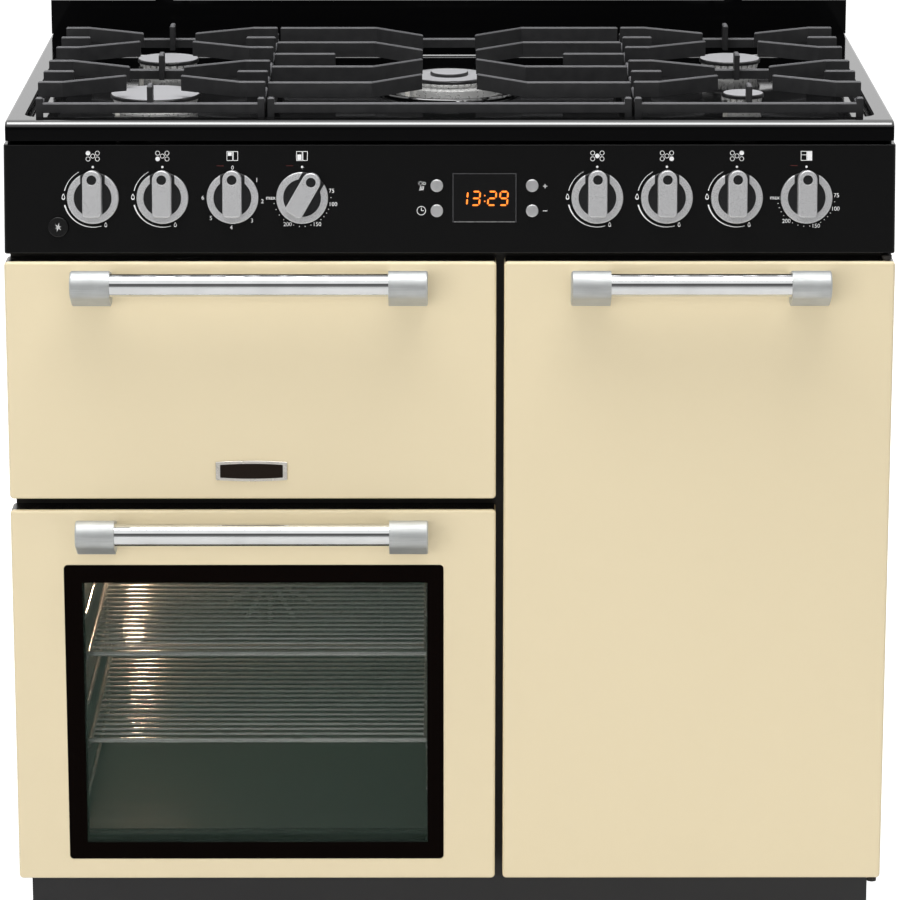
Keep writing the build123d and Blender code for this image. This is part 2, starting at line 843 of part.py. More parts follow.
def cut_fan_holes(cavity):
    """Holes in a lining's back for the motor shaft and the element's terminals."""
    middle = cavity_middle(cavity)
    start_y = cavity_back_y - overrun
    length = liner_sheet + 2 * overrun
    shaft_hole = fan_shaft_radius + 2 * moving_gap
    rod((middle[0], start_y, middle[1]), (0, 1, 0), length, shaft_hole, Mode.SUBTRACT)
    for x, z in terminal_places(cavity):
        rod((x, start_y, z), (0, 1, 0), length, element_tube_radius + moving_gap, Mode.SUBTRACT)


def grill_run_places():
    """X of each run of the grill element, left to right."""
    run_spread = grill_cavity[1] - 2 * grill_element_margin - 2 * element_tube_radius
    pitch = run_spread / (grill_element_runs - 1)
    first = grill_cavity[0] - pitch * (grill_element_runs - 1) / 2
    return [first + pitch * run for run in range(grill_element_runs)]


grill_element_z = grill_cavity[2] + grill_cavity[3] - grill_element_drop
pan_ledge_z = grill_cavity[2] + pan_ledge_rise

with BuildPart() as main_oven_liner:
    add_liner(main_cavity)
    cut_fan_holes(main_cavity)
write_piece(main_oven_liner, "main_oven_liner")

with BuildPart() as tall_oven_liner:
    add_liner(tall_cavity)
    cut_fan_holes(tall_cavity)
write_piece(tall_oven_liner, "tall_oven_liner")

with BuildPart() as grill_liner:
    add_liner(grill_cavity)
    for inward in (1, -1):
        wall_x = grill_cavity[0] - inward * grill_cavity[1] / 2
        ledge_reach = (grill_cavity[1] - pan_width) / 2 - pan_rim / 2
        ledge_x = inward_span(wall_x, inward, 0, ledge_reach)
        block(
            (ledge_x[0], liner_y + pan_front_margin, pan_ledge_z - pan_ledge_thickness),
            (ledge_x[1], cavity_back_y, pan_ledge_z),
        )
    run_places = grill_run_places()
    for x in (run_places[0], run_places[-1]):
        terminal_hole = element_tube_radius + moving_gap
        hole_start = (x, cavity_back_y - overrun, grill_element_z)
        rod(hole_start, (0, 1, 0), liner_sheet + 2 * overrun, terminal_hole, Mode.SUBTRACT)
write_piece(grill_liner, "grill_liner")

# Oven furniture
rack_inset = rack_wire_radius + moving_gap
runner_inset = rack_inset + 2 * rack_wire_radius - rack_wire_overlap
shelf_inset = rack_inset + rack_wire_radius + moving_gap + shelf_rod_radius
rack_front_y = liner_y + rack_end_margin
rack_back_y = cavity_back_y - fan_cover_depth - rack_end_margin


def runner_z(cavity, step):
    """Height of a rack's runner, counted from the lowest."""
    return cavity[2] + first_runner_rise + step * runner_pitch


def count_runners(cavity):
    """Number of runners that a cavity's height has room for."""
    return int((cavity[3] - first_runner_rise - last_runner_margin) / runner_pitch) + 1


with BuildPart() as side_racks:
    for cavity in (main_cavity, tall_cavity):
        runner_count = count_runners(cavity)
        low_z = runner_z(cavity, 0) - rack_end_margin / 2
        high_z = runner_z(cavity, runner_count - 1) + rack_end_margin / 2
        for side in (-1, 1):
            post_x = cavity[0] + side * (cavity[1] / 2 - rack_inset)
            runner_x = cavity[0] + side * (cavity[1] / 2 - runner_inset)
            run_length = rack_back_y - rack_front_y + 2 * rack_wire_radius
            wires = []
            for y in (rack_front_y, rack_back_y):
                post_start = (post_x, y, low_z)
                wires.append(rod(post_start, (0, 0, 1), high_z - low_z, rack_wire_radius, Mode.PRIVATE))
            for step in range(runner_count):
                run_start = (runner_x, rack_front_y - rack_wire_radius, runner_z(cavity, step))
                wires.append(rod(run_start, (0, 1, 0), run_length, rack_wire_radius, Mode.PRIVATE))
            add(wires)
write_piece(side_racks, "side_racks")


def add_shelf(cavity, step):
    """Wire shelf resting on the runners of both racks."""
    shelf_z = runner_z(cavity, step) + rack_wire_radius + moving_gap + shelf_rod_radius
    half = cavity[1] / 2 - shelf_inset
    front = rack_front_y - rack_wire_radius
    corners = [
        (cavity[0] - half, front, shelf_z),
        (cavity[0] + half, front, shelf_z),
        (cavity[0] + half, front + shelf_depth, shelf_z),
        (cavity[0] - half, front + shelf_depth, shelf_z),
    ]
    wires = []
    for start, end in zip(corners, corners[1:] + corners[:1]):
        wires.append(rod_between(start, end, shelf_rod_radius, Mode.PRIVATE))
        with Locations(start):
            wires.append(Sphere(shelf_rod_radius, mode=Mode.PRIVATE))
    wire_count = int(shelf_depth / shelf_wire_pitch) - 1
    spare = (shelf_depth - (wire_count - 1) * shelf_wire_pitch) / 2
    for wire in range(wire_count):
        wire_start = (cavity[0] - half, front + spare + wire * shelf_wire_pitch, shelf_z)
        wires.append(rod(wire_start, (1, 0, 0), 2 * half, shelf_wire_radius, Mode.PRIVATE))
    add(wires)


with BuildPart() as wire_shelves:
    for cavity, shares in ((main_cavity, main_shelf_shares), (tall_cavity, tall_shelf_shares)):
        for share in shares:
            add_shelf(cavity, round(share * (count_runners(cavity) - 1)))
write_piece(wire_shelves, "wire_shelves")

with BuildPart() as grill_pan:
    pan_middle_y = liner_y + pan_front_margin + pan_depth / 2
    pan_floor_z = pan_ledge_z - pan_height + liner_sheet
    pan_layers = (
        (pan_ledge_z, pan_ledge_z + liner_sheet, pan_rim, Mode.ADD),
        (pan_ledge_z - pan_height, pan_ledge_z + liner_sheet, 0, Mode.ADD),
        (pan_floor_z, pan_ledge_z + liner_sheet + overrun, -liner_sheet, Mode.SUBTRACT),
    )
    for low_z, high_z, margin, layer_mode in pan_layers:
        with BuildSketch(Plane.XY.offset(low_z)) as layer:
            with Locations((grill_cavity[0], pan_middle_y)):
                RectangleRounded(pan_width + 2 * margin, pan_depth + 2 * margin, pan_corner_radius)
        extrude(layer.sketch, amount=high_z - low_z, mode=layer_mode)
write_piece(grill_pan, "grill_pan")

# Heating elements, fans and motors
element_y = cavity_back_y - fan_cover_depth / 2

with BuildPart() as heating_elements:
    for cavity in (main_cavity, tall_cavity):
        terminals = terminal_places(cavity)
        middle = cavity_middle(cavity)
        ring_plane = Plane(origin=(middle[0], element_y, middle[1]), x_dir=(1, 0, 0), z_dir=(0, -1, 0))
        gap_angle = degrees(2 * atan2(terminal_spread / 2, ring_element_radius))
        with BuildLine(ring_plane) as ring_line:
            CenterArc((0, 0), ring_element_radius, gap_angle / 2 - 90, 360 - gap_angle)
        with BuildSketch(Plane(origin=ring_line.line @ 0, z_dir=ring_line.line % 0)) as ring_section:
            Circle(element_tube_radius)
        sweep(ring_section.sketch, path=ring_line.line)
        for end in (ring_line.line @ 0, ring_line.line @ 1):
            with Locations(end):
                Sphere(element_tube_radius)
            rod(end, (0, 1, 0), cavity_back_y + terminal_tail - element_y, element_tube_radius)
    grill_route = []
    run_ends = (liner_y + grill_element_front, liner_y + grill_element_back)
    for run, x in enumerate(run_places):
        forward = run % 2 == 0
        near, far = (run_ends[1], run_ends[0]) if forward else run_ends
        if run == 0:
            near = cavity_back_y + terminal_tail
        if run == grill_element_runs - 1:
            far = cavity_back_y + terminal_tail
        grill_route += [(x, near, grill_element_z), (x, far, grill_element_z)]
    tube_along(grill_route, run_bend_share * (run_places[1] - run_places[0]), element_tube_radius)
write_piece(heating_elements, "heating_elements")

fan_back_y = cavity_back_y - overrun
fan_front_y = fan_back_y - fan_depth


def add_fan(cavity):
    """Radial fan on a hub that takes the motor's shaft."""
    x, z = cavity_middle(cavity)
    rod((x, fan_back_y, z), (0, -1, 0), fan_depth, fan_hub_radius)
    rod((x, fan_back_y, z), (0, -1, 0), liner_sheet, fan_radius)
    blade_plane = Plane(origin=(x, fan_back_y, z), x_dir=(1, 0, 0), z_dir=(0, -1, 0))
    blade_length = fan_radius - fan_hub_radius
    blade_middle = fan_hub_radius - fan_blade_thickness + blade_length / 2
    with BuildSketch(blade_plane) as blades:
        with PolarLocations(blade_middle, fan_blade_count):
            Rectangle(blade_length, fan_blade_thickness)
    extrude(blades.sketch, amount=fan_depth)
    bore = fan_shaft_radius + running_gap
    rod((x, fan_back_y + overrun, z), (0, -1, 0), overrun + fan_depth - liner_sheet, bore, Mode.SUBTRACT)


with BuildPart() as main_oven_fan:
    add_fan(main_cavity)
write_piece(main_oven_fan, "main_oven_fan")

with BuildPart() as tall_oven_fan:
    add_fan(tall_cavity)
write_piece(tall_oven_fan, "tall_oven_fan")

with BuildPart() as fan_motors:
    for cavity in (main_cavity, tall_cavity):
        x, z = cavity_middle(cavity)
        rod((x, cavity_back_y + liner_sheet, z), (0, 1, 0), motor_length, motor_radius)
        shaft_start_y = fan_front_y + 2 * liner_sheet
        shaft_length = cavity_back_y + liner_sheet + motor_length - shaft_start_y
        rod((x, shaft_start_y, z), (0, 1, 0), shaft_length, fan_shaft_radius)
write_piece(fan_motors, "fan_motors")

with BuildPart() as fan_covers:
    for cavity in (main_cavity, tall_cavity):
        middle = cavity_middle(cavity)
        cover_front_y = cavity_back_y - fan_cover_depth
        cover_size = (fan_cover_width, fan_cover_height)
        cover_inner = (fan_cover_width - 2 * liner_sheet, fan_cover_height - 2 * liner_sheet)
        front_slab(middle, cover_size, cover_front_y, cavity_back_y, fan_cover_corner)
        front_slab(
            middle,
            cover_inner,
            cover_front_y + liner_sheet,
            cavity_back_y + overrun,
            fan_cover_corner - liner_sheet,
            Mode.SUBTRACT,
        )
        intake_place = (middle[0], cover_front_y, middle[1])
        intake_plane = Plane(origin=intake_place, x_dir=(1, 0, 0), z_dir=(0, -1, 0))
        with BuildSketch(intake_plane) as slots:
            with PolarLocations(fan_radius / 2, fan_blade_count):
                SlotOverall(fan_radius / 2, vent_height)
            for side in (-1, 1):
                with Locations((side * (fan_cover_width / 2 - 2 * vent_height), 0)):
                    SlotOverall(fan_cover_height / 2, vent_height, rotation=90)
        extrude(slots.sketch, amount=-2 * liner_sheet, mode=Mode.SUBTRACT)
write_piece(fan_covers, "fan_covers")


# Hob
hob_front_y = front_y + hob_front_setback
recess_front_y = front_y + recess_front_setback
recess_back_y = front_y + recess_back_setback
recess_middle = (0, (recess_front_y + recess_back_y) / 2)
recess_size = (recess_width, recess_back_y - recess_front_y)


def electrode_place(name):
    """Middle of a burner's electrode, in front and to the left of its crown."""
    x, setback, radius = burners[name]
    reach = (radius if name != "wok_burner" else wok_outer_radius) + electrode_reach
    return (x - reach / 2**0.5, front_y + setback - reach / 2**0.5)


def flat_faces_at(piece, z):
    """Level faces of a piece at one height."""
    return piece.faces().filter_by(Axis.Z).filter_by(lambda face: abs(face.center().Z - z) < moving_gap)


with BuildPart() as hob_top:
    block((-half_hob, hob_front_y, casing_top_z), (half_hob, rear_y, hob_height))
    top_front = hob_top.faces().sort_by(Axis.Z)[-1].edges().sort_by(Axis.Y)[0]
    fillet(top_front, hob_front_radius)
    top_sides = hob_top.faces().sort_by(Axis.Z)[-1].edges().filter_by(Axis.Y)
    fillet(top_sides, hob_side_radius)
    inner_x = half_hob - hob_side_radius
    block(
        (-inner_x, hob_front_y + hob_sheet, casing_top_z - overrun),
        (inner_x, rear_y - hob_sheet, recess_z - hob_sheet),
        Mode.SUBTRACT,
    )
    rim_z = (recess_z - hob_sheet - overrun, hob_height - hob_sheet)
    wall_x = recess_width / 2 + hob_sheet
    for low_x, high_x in ((-inner_x, -wall_x), (wall_x, inner_x)):
        block(
            (low_x, hob_front_y + hob_front_radius, rim_z[0]),
            (high_x, rear_y - hob_sheet, rim_z[1]),
            Mode.SUBTRACT,
        )
    for low_y, high_y in (
        (hob_front_y + hob_front_radius, recess_front_y - hob_sheet),
        (recess_back_y + hob_sheet, rear_y - hob_sheet),
    ):
        block((-inner_x, low_y, rim_z[0]), (inner_x, high_y, rim_z[1]), Mode.SUBTRACT)
    with BuildSketch(Plane.XY.offset(hob_height)) as recess:
        with Locations(recess_middle):
            RectangleRounded(*recess_size, recess_corner_radius)
    extrude(amount=-recess_depth, mode=Mode.SUBTRACT)
    floor_faces = flat_faces_at(hob_top, recess_z)
    fillet(floor_faces.sort_by(SortBy.AREA)[-1].outer_wire().edges(), hob_side_radius)
    rim_x, rim_setback, rim_cap = burners["wok_burner"]
    rim_start = (rim_x, front_y + rim_setback, recess_z - hob_sheet)
    rod(rim_start, (0, 0, 1), hob_sheet + wok_rim_height, wok_rim_radius)
    rim_hole = wok_rim_radius - wok_rim_width
    hole_start = (rim_start[0], rim_start[1], recess_z)
    rod(hole_start, (0, 0, 1), wok_rim_height + overrun, rim_hole, Mode.SUBTRACT)
    rim_top = flat_faces_at(hob_top, recess_z + wok_rim_height)
    fillet(rim_top.edges(), wok_rim_width / 2 - moving_gap)
    for name, (x, setback, radius) in burners.items():
        cup_start = (x, front_y + setback, recess_z - hob_sheet - overrun)
        hole_height = hob_sheet + 2 * overrun
        rod(cup_start, (0, 0, 1), hole_height, cup_radius + moving_gap, Mode.SUBTRACT)
        electrode_start = (*electrode_place(name), recess_z - hob_sheet - overrun)
        rod(electrode_start, (0, 0, 1), hole_height, electrode_radius + moving_gap, Mode.SUBTRACT)
write_piece(hob_top, "hob_top")


def add_crown(name, base_z, height, radius):
    """Flame ring that widens to its cap and is slotted round its top."""
    x, setback, cap_radius = burners[name]
    with Locations((x, front_y + setback, base_z)):
        Cone(
            radius * crown_taper_share,
            radius,
            height,
            align=(Align.CENTER, Align.CENTER, Align.MIN),
        )
    slot_count = int(2 * pi * radius / crown_slot_spacing)
    top = Plane(origin=(x, front_y + setback, base_z + height), z_dir=(0, 0, 1))
    with BuildSketch(top) as slots:
        with PolarLocations(radius, slot_count):
            Rectangle(2 * crown_slot_depth, crown_slot_width)
    extrude(slots.sketch, amount=-crown_slot_depth, mode=Mode.SUBTRACT)


cap_z = recess_z + crown_height

with BuildPart() as burner_bodies:
    for name, (x, setback, radius) in burners.items():
        y = front_y + setback
        is_wok = name == "wok_burner"
        flange_radius = wok_outer_radius if is_wok else radius
        flange_height = wok_outer_height if is_wok else burner_flange_height
        rod((x, y, recess_z - cup_depth), (0, 0, 1), cup_depth, cup_radius)
        rod((x, y, recess_z), (0, 0, 1), flange_height, flange_radius)
        add_crown(name, recess_z + flange_height, crown_height - flange_height, radius - crown_inset)
write_piece(burner_bodies, "burner_bodies")

with BuildPart() as burner_caps:
    for name, (x, setback, radius) in burners.items():
        rod((x, front_y + setback, cap_z), (0, 0, 1), cap_thickness, radius)
    cap_tops = burner_caps.faces().filter_by(Axis.Z).group_by(Axis.Z)[-1]
    fillet(cap_tops.edges(), cap_edge_radius)
    wok_x, wok_y = burners["wok_burner"][0], front_y + wok_setback
    wok_step_z = cap_z + cap_thickness
    rod((wok_x, wok_y, wok_step_z), (0, 0, 1), wok_top_cap_thickness, wok_top_cap_radius)
    fillet(burner_caps.faces().sort_by(Axis.Z)[-1].edges(), cap_edge_radius)
write_piece(burner_caps, "burner_caps")

with BuildPart() as ignition_electrodes:
    for name in burners:
        electrode_start = (*electrode_place(name), recess_z - electrode_depth)
        rod(electrode_start, (0, 0, 1), electrode_depth + electrode_height, electrode_radius)
write_piece(ignition_electrodes, "ignition_electrodes")

# Pan supports
bar_low_z = recess_z + support_foot_height
bar_top_z = bar_low_z + support_bar_height
finger_low_z = finger_top_z - finger_height
rail_half = support_bar_width / 2


def iron_bar(points, low_z, high_z):
    """Cast bar of an (X, Y) outline with its top edges bevelled, as a list of solids."""
    with BuildSketch(Plane.XY.offset(low_z)) as outline:
        with BuildLine():
            Polyline(*points, close=True)
        make_face()
    bar = extrude(outline.sketch, amount=high_z - low_z, mode=Mode.PRIVATE)
    top_edges = bar.faces().sort_by(Axis.Z)[-1].edges()
    return [bar.solid().chamfer(support_edge, None, top_edges)]


def iron_block(middle, size, low_z, high_z):
    """Straight bar about a middle, with its top edges bevelled."""
    x, y = middle
    w, d = size[0] / 2, size[1] / 2
    return iron_bar([(x - w, y - d), (x + w, y - d), (x + w, y + d), (x - w, y + d)], low_z, high_z)


def finger(rail_x, row_y, bend_x, tip_x, tip_y):
    """Finger that runs in from a rail, then bends toward the burner's middle."""
    half = finger_width / 2
    outline = [
        (rail_x, row_y - half),
        (bend_x, row_y - half),
        (tip_x, tip_y - half),
        (tip_x, tip_y + half),
        (bend_x, row_y + half),
        (rail_x, row_y + half),
    ]
    post = iron_block((rail_x, row_y), (support_bar_width, finger_width), bar_low_z, finger_top_z)
    return iron_bar(outline, finger_low_z, finger_top_z) + post


def support_frame(low_x, high_x, row_setbacks):
    """Low frame of bars and rails on four feet."""
    pieces = []
    low_y = front_y + support_front_setback
    high_y = front_y + support_back_setback
    for x in (low_x + rail_half, high_x - rail_half):
        middle_y = (low_y + high_y) / 2
        rail_size = (support_bar_width, high_y - low_y)
        pieces += iron_block((x, middle_y), rail_size, bar_low_z, bar_top_z)
        corner_size = (support_bar_width, support_bar_width)
        for y in (low_y, high_y):
            pieces += iron_block((x, y), corner_size, recess_z, bar_top_z + finger_width)
    for setback in row_setbacks:
        bar_middle = ((low_x + high_x) / 2, front_y + setback)
        bar_size = (high_x - low_x, support_bar_width)
        pieces += iron_block(bar_middle, bar_size, bar_low_z, bar_top_z)
    return pieces


def rising_fingers(x, setbacks):
    """Short fingers that stand on the cross bars and point at the burners."""
    pieces = []
    for setback, shift in setbacks:
        middle = (x, front_y + setback + shift)
        pieces += iron_block(middle, (finger_width, rising_finger_length), bar_low_z, finger_top_z)
    return pieces


def add_side_support(side):
    """Support over the front and rear burners of one side."""
    outer_x, inner_x = (side * share * half_width for share in side_support_shares)
    low_x, high_x = sorted((outer_x, inner_x))
    rows = (support_front_setback, wok_setback, support_back_setback)
    pieces = support_frame(low_x, high_x, rows)
    burner_x = side * side_burner_x
    for setback in (front_burner_setback, rear_burner_setback):
        y = front_y + setback
        for toward, rail_x in ((-1, low_x + rail_half), (1, high_x - rail_half)):
            for row in (-1, 1):
                bend_x = burner_x + toward * side_finger_bend
                tip = (burner_x + toward * finger_tip_x, y + row * finger_tip_offset)
                pieces += finger(rail_x, y + row * side_finger_offset, bend_x, *tip)
            stub_middle = (rail_x - toward * stub_length / 2, y)
            pieces += iron_block(stub_middle, (stub_length, finger_width), finger_low_z, finger_top_z)
            post_size = (support_bar_width, finger_width)
            pieces += iron_block((rail_x, y), post_size, bar_low_z, finger_top_z)
    half = rising_finger_length / 2
    pieces += rising_fingers(burner_x, ((rows[0], half), (rows[1], 0), (rows[2], -half)))
    add(pieces)


with BuildPart() as left_pan_support:
    add_side_support(-1)
write_piece(left_pan_support, "left_pan_support")

with BuildPart() as right_pan_support:
    add_side_support(1)
write_piece(right_pan_support, "right_pan_support")

with BuildPart() as centre_pan_support:
    centre_edge = side_support_shares[1] * half_width - support_gap
    centre_rows = (support_front_setback, support_back_setback)
    centre_pieces = support_frame(-centre_edge, centre_edge, centre_rows)
    for side in (-1, 1):
        rail_x = side * (centre_edge - rail_half)
        for row_setback, tip_setback in centre_finger_rows:
            bend_x = side * centre_finger_bend
            tip_x = side * finger_tip_x
            tip_y = front_y + tip_setback
            centre_pieces += finger(rail_x, front_y + row_setback, bend_x, tip_x, tip_y)
        stub_middle = (side * (centre_edge + centre_stub_reach) / 2, front_y + wok_setback)
        stub_size = (centre_edge - centre_stub_reach, finger_width)
        centre_pieces += iron_block(stub_middle, stub_size, finger_low_z, finger_top_z)
        post_middle = (rail_x, front_y + wok_setback)
        post_size = (support_bar_width, finger_width)
        centre_pieces += iron_block(post_middle, post_size, bar_low_z, finger_top_z)
    add(centre_pieces)
write_piece(centre_pan_support, "centre_pan_support")

# Lid and the upstand that carries it
with BuildPart() as rear_upstand:
    upstand_z = hob_height + upstand_height
    block((-half_hob, lid_front_y, hob_height), (half_hob, rear_y, upstand_z))
    block(
        (-half_hob + sheet, lid_front_y + sheet, hob_height - overrun),
        (half_hob - sheet, rear_y - sheet, upstand_z - sheet),
        Mode.SUBTRACT,
    )
    for side in (-1, 1):
        lug_x = side * lid_hinge_x - lid_lug_width / 2
        block(
            (lug_x, lid_axis_y - lid_lug_radius, upstand_z - sheet),
            (lug_x + lid_lug_width, lid_axis_y + lid_lug_radius, lid_axis_z),
        )
        lug_start = (lug_x, lid_axis_y, lid_axis_z)
        rod(lug_start, (1, 0, 0), lid_lug_width, lid_lug_radius)
        lug_bore = lid_pin_radius + running_gap
        bore_start = (lug_x - overrun, lid_axis_y, lid_axis_z)
        rod(bore_start, (1, 0, 0), lid_lug_width + 2 * overrun, lug_bore, Mode.SUBTRACT)
write_piece(rear_upstand, "rear_upstand")

lid_back_y = lid_front_y + lid_thickness
ear_near = lid_lug_width / 2 + hinge_lug_gap
ear_far = ear_near + lid_ear_width
notch_top_z = lid_axis_z + lid_notch_rise

with BuildPart() as lid_glass:
    front_slab(
        (0, lid_low_z + lid_height / 2),
        (2 * half_hob, lid_height),
        lid_front_y,
        lid_back_y,
        lid_corner_radius,
    )
    for side in (-1, 1):
        notch_half = lid_lug_width / 2 + lid_notch_margin
        block(
            (side * lid_hinge_x - notch_half, lid_front_y - overrun, lid_low_z - overrun),
            (side * lid_hinge_x + notch_half, lid_back_y + overrun, notch_top_z),
            Mode.SUBTRACT,
        )
write_piece(lid_glass, "lid_glass")

with BuildPart() as lid_hinges:
    for side in (-1, 1):
        hinge_x = side * lid_hinge_x
        block(
            (hinge_x - ear_far, lid_back_y, notch_top_z + lid_notch_margin),
            (hinge_x + ear_far, lid_back_y + lid_leaf_thickness, notch_top_z + lid_leaf_height),
        )
        for low_x in (hinge_x - ear_far, hinge_x + ear_near):
            block(
                (low_x, lid_back_y, lid_axis_z),
                (low_x + lid_ear_width, lid_axis_y + lid_lug_radius, notch_top_z + 2 * lid_notch_margin),
            )
            rod((low_x, lid_axis_y, lid_axis_z), (1, 0, 0), lid_ear_width, lid_lug_radius)
        rod((hinge_x - ear_far, lid_axis_y, lid_axis_z), (1, 0, 0), 2 * ear_far, lid_pin_radius)
write_piece(lid_hinges, "lid_hinges")


# Control fascia
def cut_fascia_hole(x, z, radius):
    """Round hole through the fascia."""
    fascia_bar(x, z, -sheet - overrun, overrun, radius, Mode.SUBTRACT)


def fascia_block(x, z, size, low, high, mode=Mode.ADD):
    """Rectangular block square to the fascia, between two lifts above its face."""
    with BuildSketch(fascia_plane(x, z, low)) as outline:
        Rectangle(*size)
    extrude(outline.sketch, amount=high - low, mode=mode)


fascia_low_y = front_y + fascia_low_inset
fascia_top_y = fascia_low_y + fascia_lean
buttons = [((x, knob_z + rise), timer_button_radius, timer_button_proud) for x, rise in timer_button_places]
buttons.append((spark_button_place, spark_button_radius, spark_button_proud))
button_names = (
    "timer_mode_button",
    "timer_clock_button",
    "timer_plus_button",
    "timer_minus_button",
    "spark_button",
)
timer_window_place = (timer_window_middle_x, knob_z)

with BuildPart() as control_fascia:
    prism_along_x(
        [
            (fascia_low_y, fascia_low_z),
            (fascia_top_y, fascia_top_z),
            (fascia_back_y, fascia_top_z),
            (fascia_back_y, fascia_low_z),
        ],
        -half_width,
        half_width,
    )
    fascia_ends = control_fascia.faces().sort_by(Axis.Y)[0].edges().sort_by(Axis.X)
    fillet((fascia_ends[0], fascia_ends[-1]), fascia_end_radius)
    face_edges = control_fascia.faces().sort_by(Axis.Y)[0].edges().filter_by(Axis.X)
    fillet(face_edges, fascia_edge_radius)
    slope_step = sheet * tan(fascia_angle)
    inner_lean = sheet / cos(fascia_angle)
    prism_along_x(
        [
            (fascia_low_y + inner_lean + slope_step, fascia_low_z + sheet),
            (fascia_top_y + inner_lean - slope_step, fascia_top_z - sheet),
            (fascia_back_y + overrun, fascia_top_z - sheet),
            (fascia_back_y + overrun, fascia_low_z + sheet),
        ],
        -half_width + sheet,
        half_width - sheet,
        Mode.SUBTRACT,
    )
    for x in knob_places:
        cut_fascia_hole(x, knob_z, shaft_hole_radius)
    for (x, z), radius, proud in buttons:
        cut_fascia_hole(x, z, radius + moving_gap)
    for side in (-1, 1):
        slot_x = sorted((side * (half_casing + moving_gap), side * (half_casing - sheet - moving_gap)))
        slot_low = (slot_x[0], liner_y - moving_gap, fascia_low_z - overrun)
        slot_high = (slot_x[1], fascia_back_y + overrun, fascia_top_z + overrun)
        block(slot_low, slot_high, Mode.SUBTRACT)
    window_hole = (timer_window_width + 2 * moving_gap, timer_window_height + 2 * moving_gap)
    fascia_block(*timer_window_place, window_hole, -sheet - overrun, overrun, Mode.SUBTRACT)
write_piece(control_fascia, "control_fascia")

with BuildPart() as timer_window:
    with BuildSketch(fascia_plane(*timer_window_place, -sheet)) as pane:
        RectangleRounded(timer_window_width, timer_window_height, timer_window_corner)
    extrude(pane.sketch, amount=sheet + timer_window_proud)
write_piece(timer_window, "timer_window")


def add_button(place, radius, proud):
    """Push button through the fascia, with its front edge rounded."""
    fascia_bar(*place, -button_tail, proud, radius)


for (place, radius, proud), name in zip(buttons, button_names):
    with BuildPart() as button:
        add_button(place, radius, proud)
        fillet(button.faces().sort_by(Axis.Y)[0].edges(), button_edge_radius)
    write_piece(button, name)

# Each knob stands on the spindle of its tap or switch
knob_base = knob_lift
skirt_top = knob_base + knob_skirt_height
dish_floor = skirt_top - knob_dish_depth
grip_round = grip_width / 2

for x, name in zip(knob_places, knob_names):
    base = fascia_plane(x, knob_z, knob_base)
    turn = -turned_knob_angle if name == turned_knob else 0
    dial_x = base.x_dir.rotate(Axis(base.origin, base.z_dir), turn)
    dial = Plane(origin=base.origin, x_dir=dial_x, z_dir=base.z_dir)
    with BuildPart() as knob:
        with BuildSketch(dial) as skirt:
            Circle(knob_radius)
        extrude(skirt.sketch, amount=knob_skirt_height)
        fillet(knob.faces().sort_by(Axis.Y)[0].edges(), grip_edge_radius)
        with BuildSketch(dial.offset(knob_skirt_height)) as dish:
            Circle(knob_radius - knob_ring_width)
        extrude(dish.sketch, amount=-knob_dish_depth, mode=Mode.SUBTRACT)
        with BuildSketch(dial.offset(knob_skirt_height - knob_dish_depth)) as grip:
            with Locations((0, (grip_top_reach - grip_round - grip_bottom_reach) / 2)):
                Rectangle(grip_width, grip_top_reach - grip_round + grip_bottom_reach)
            fillet(grip.vertices().group_by(Axis.Y)[0], grip_corner_radius)
            with Locations((0, grip_top_reach - grip_round)):
                Circle(grip_round)
        extrude(grip.sketch, amount=grip_height - dish_floor)
        fillet(knob.faces().sort_by(Axis.Y)[0].edges(), grip_edge_radius)
        with BuildSketch(dial.offset(grip_height - knob_base)) as dimple:
            with Locations((0, grip_top_reach - grip_round)):
                Circle(dimple_radius)
        extrude(dimple.sketch, amount=-dimple_depth, mode=Mode.SUBTRACT)
        bore_top = knob_base + shaft_engagement + moving_gap
        fascia_bar(x, knob_z, knob_base - overrun, bore_top, shaft_radius + running_gap, Mode.SUBTRACT)
    write_piece(knob, f"knob_{name}")

# Taps, switches and gas pipes behind the fascia
tap_back = -rail_setback + rail_radius + moving_gap
spindle_top = knob_base + shaft_engagement
switch_knobs = [(x, name) for x, name in zip(knob_places, knob_names) if name not in burners]
tap_knobs = [(x, name) for x, name in zip(knob_places, knob_names) if name in burners]

with BuildPart() as gas_taps:
    for x, name in tap_knobs:
        fascia_bar(x, knob_z, tap_back, -sheet - tap_front_gap, tap_radius)
        fascia_bar(x, knob_z, tap_back, spindle_top, shaft_radius)
write_piece(gas_taps, "gas_taps")

with BuildPart() as control_housings:
    for x, name in switch_knobs:
        fascia_block(x, knob_z, (switch_width, switch_height), -sheet - switch_depth, -sheet)
        fascia_bar(x, knob_z, -sheet - switch_depth, spindle_top, shaft_radius)
    clock_place = timer_window_place
    fascia_block(*clock_place, (clock_width, clock_height), -sheet - clock_depth, -sheet)
    spark_size = (3 * spark_button_radius, 3 * spark_button_radius)
    fascia_block(*spark_button_place, spark_size, -sheet - switch_depth / 2, -sheet)
    for (x, z), radius, proud in buttons:
        pocket = -button_tail - button_travel - moving_gap
        fascia_bar(x, z, pocket, 0, radius + moving_gap, Mode.SUBTRACT)
write_piece(control_housings, "control_housings")

with BuildPart() as gas_rail:
    rail_points = [
        (knob_places[0] - rail_left_reach, rail_y, rail_z),
        (rail_side_x, rail_y, rail_z),
        (rail_side_x, back_y - inlet_collar_length, rail_z),
    ]
    tube_along(rail_points, rail_bend_radius, rail_radius)
    collar_start = (rail_side_x, back_y - inlet_collar_length, rail_z)
    rod(collar_start, (0, 1, 0), inlet_collar_length, inlet_collar_radius)
    rod((rail_side_x, back_y, rail_z), (0, 1, 0), inlet_thread_length, inlet_thread_radius)
write_piece(gas_rail, "gas_rail")

outlet_rise = tap_radius / cos(fascia_angle) + pipe_radius * tan(fascia_angle) + moving_gap

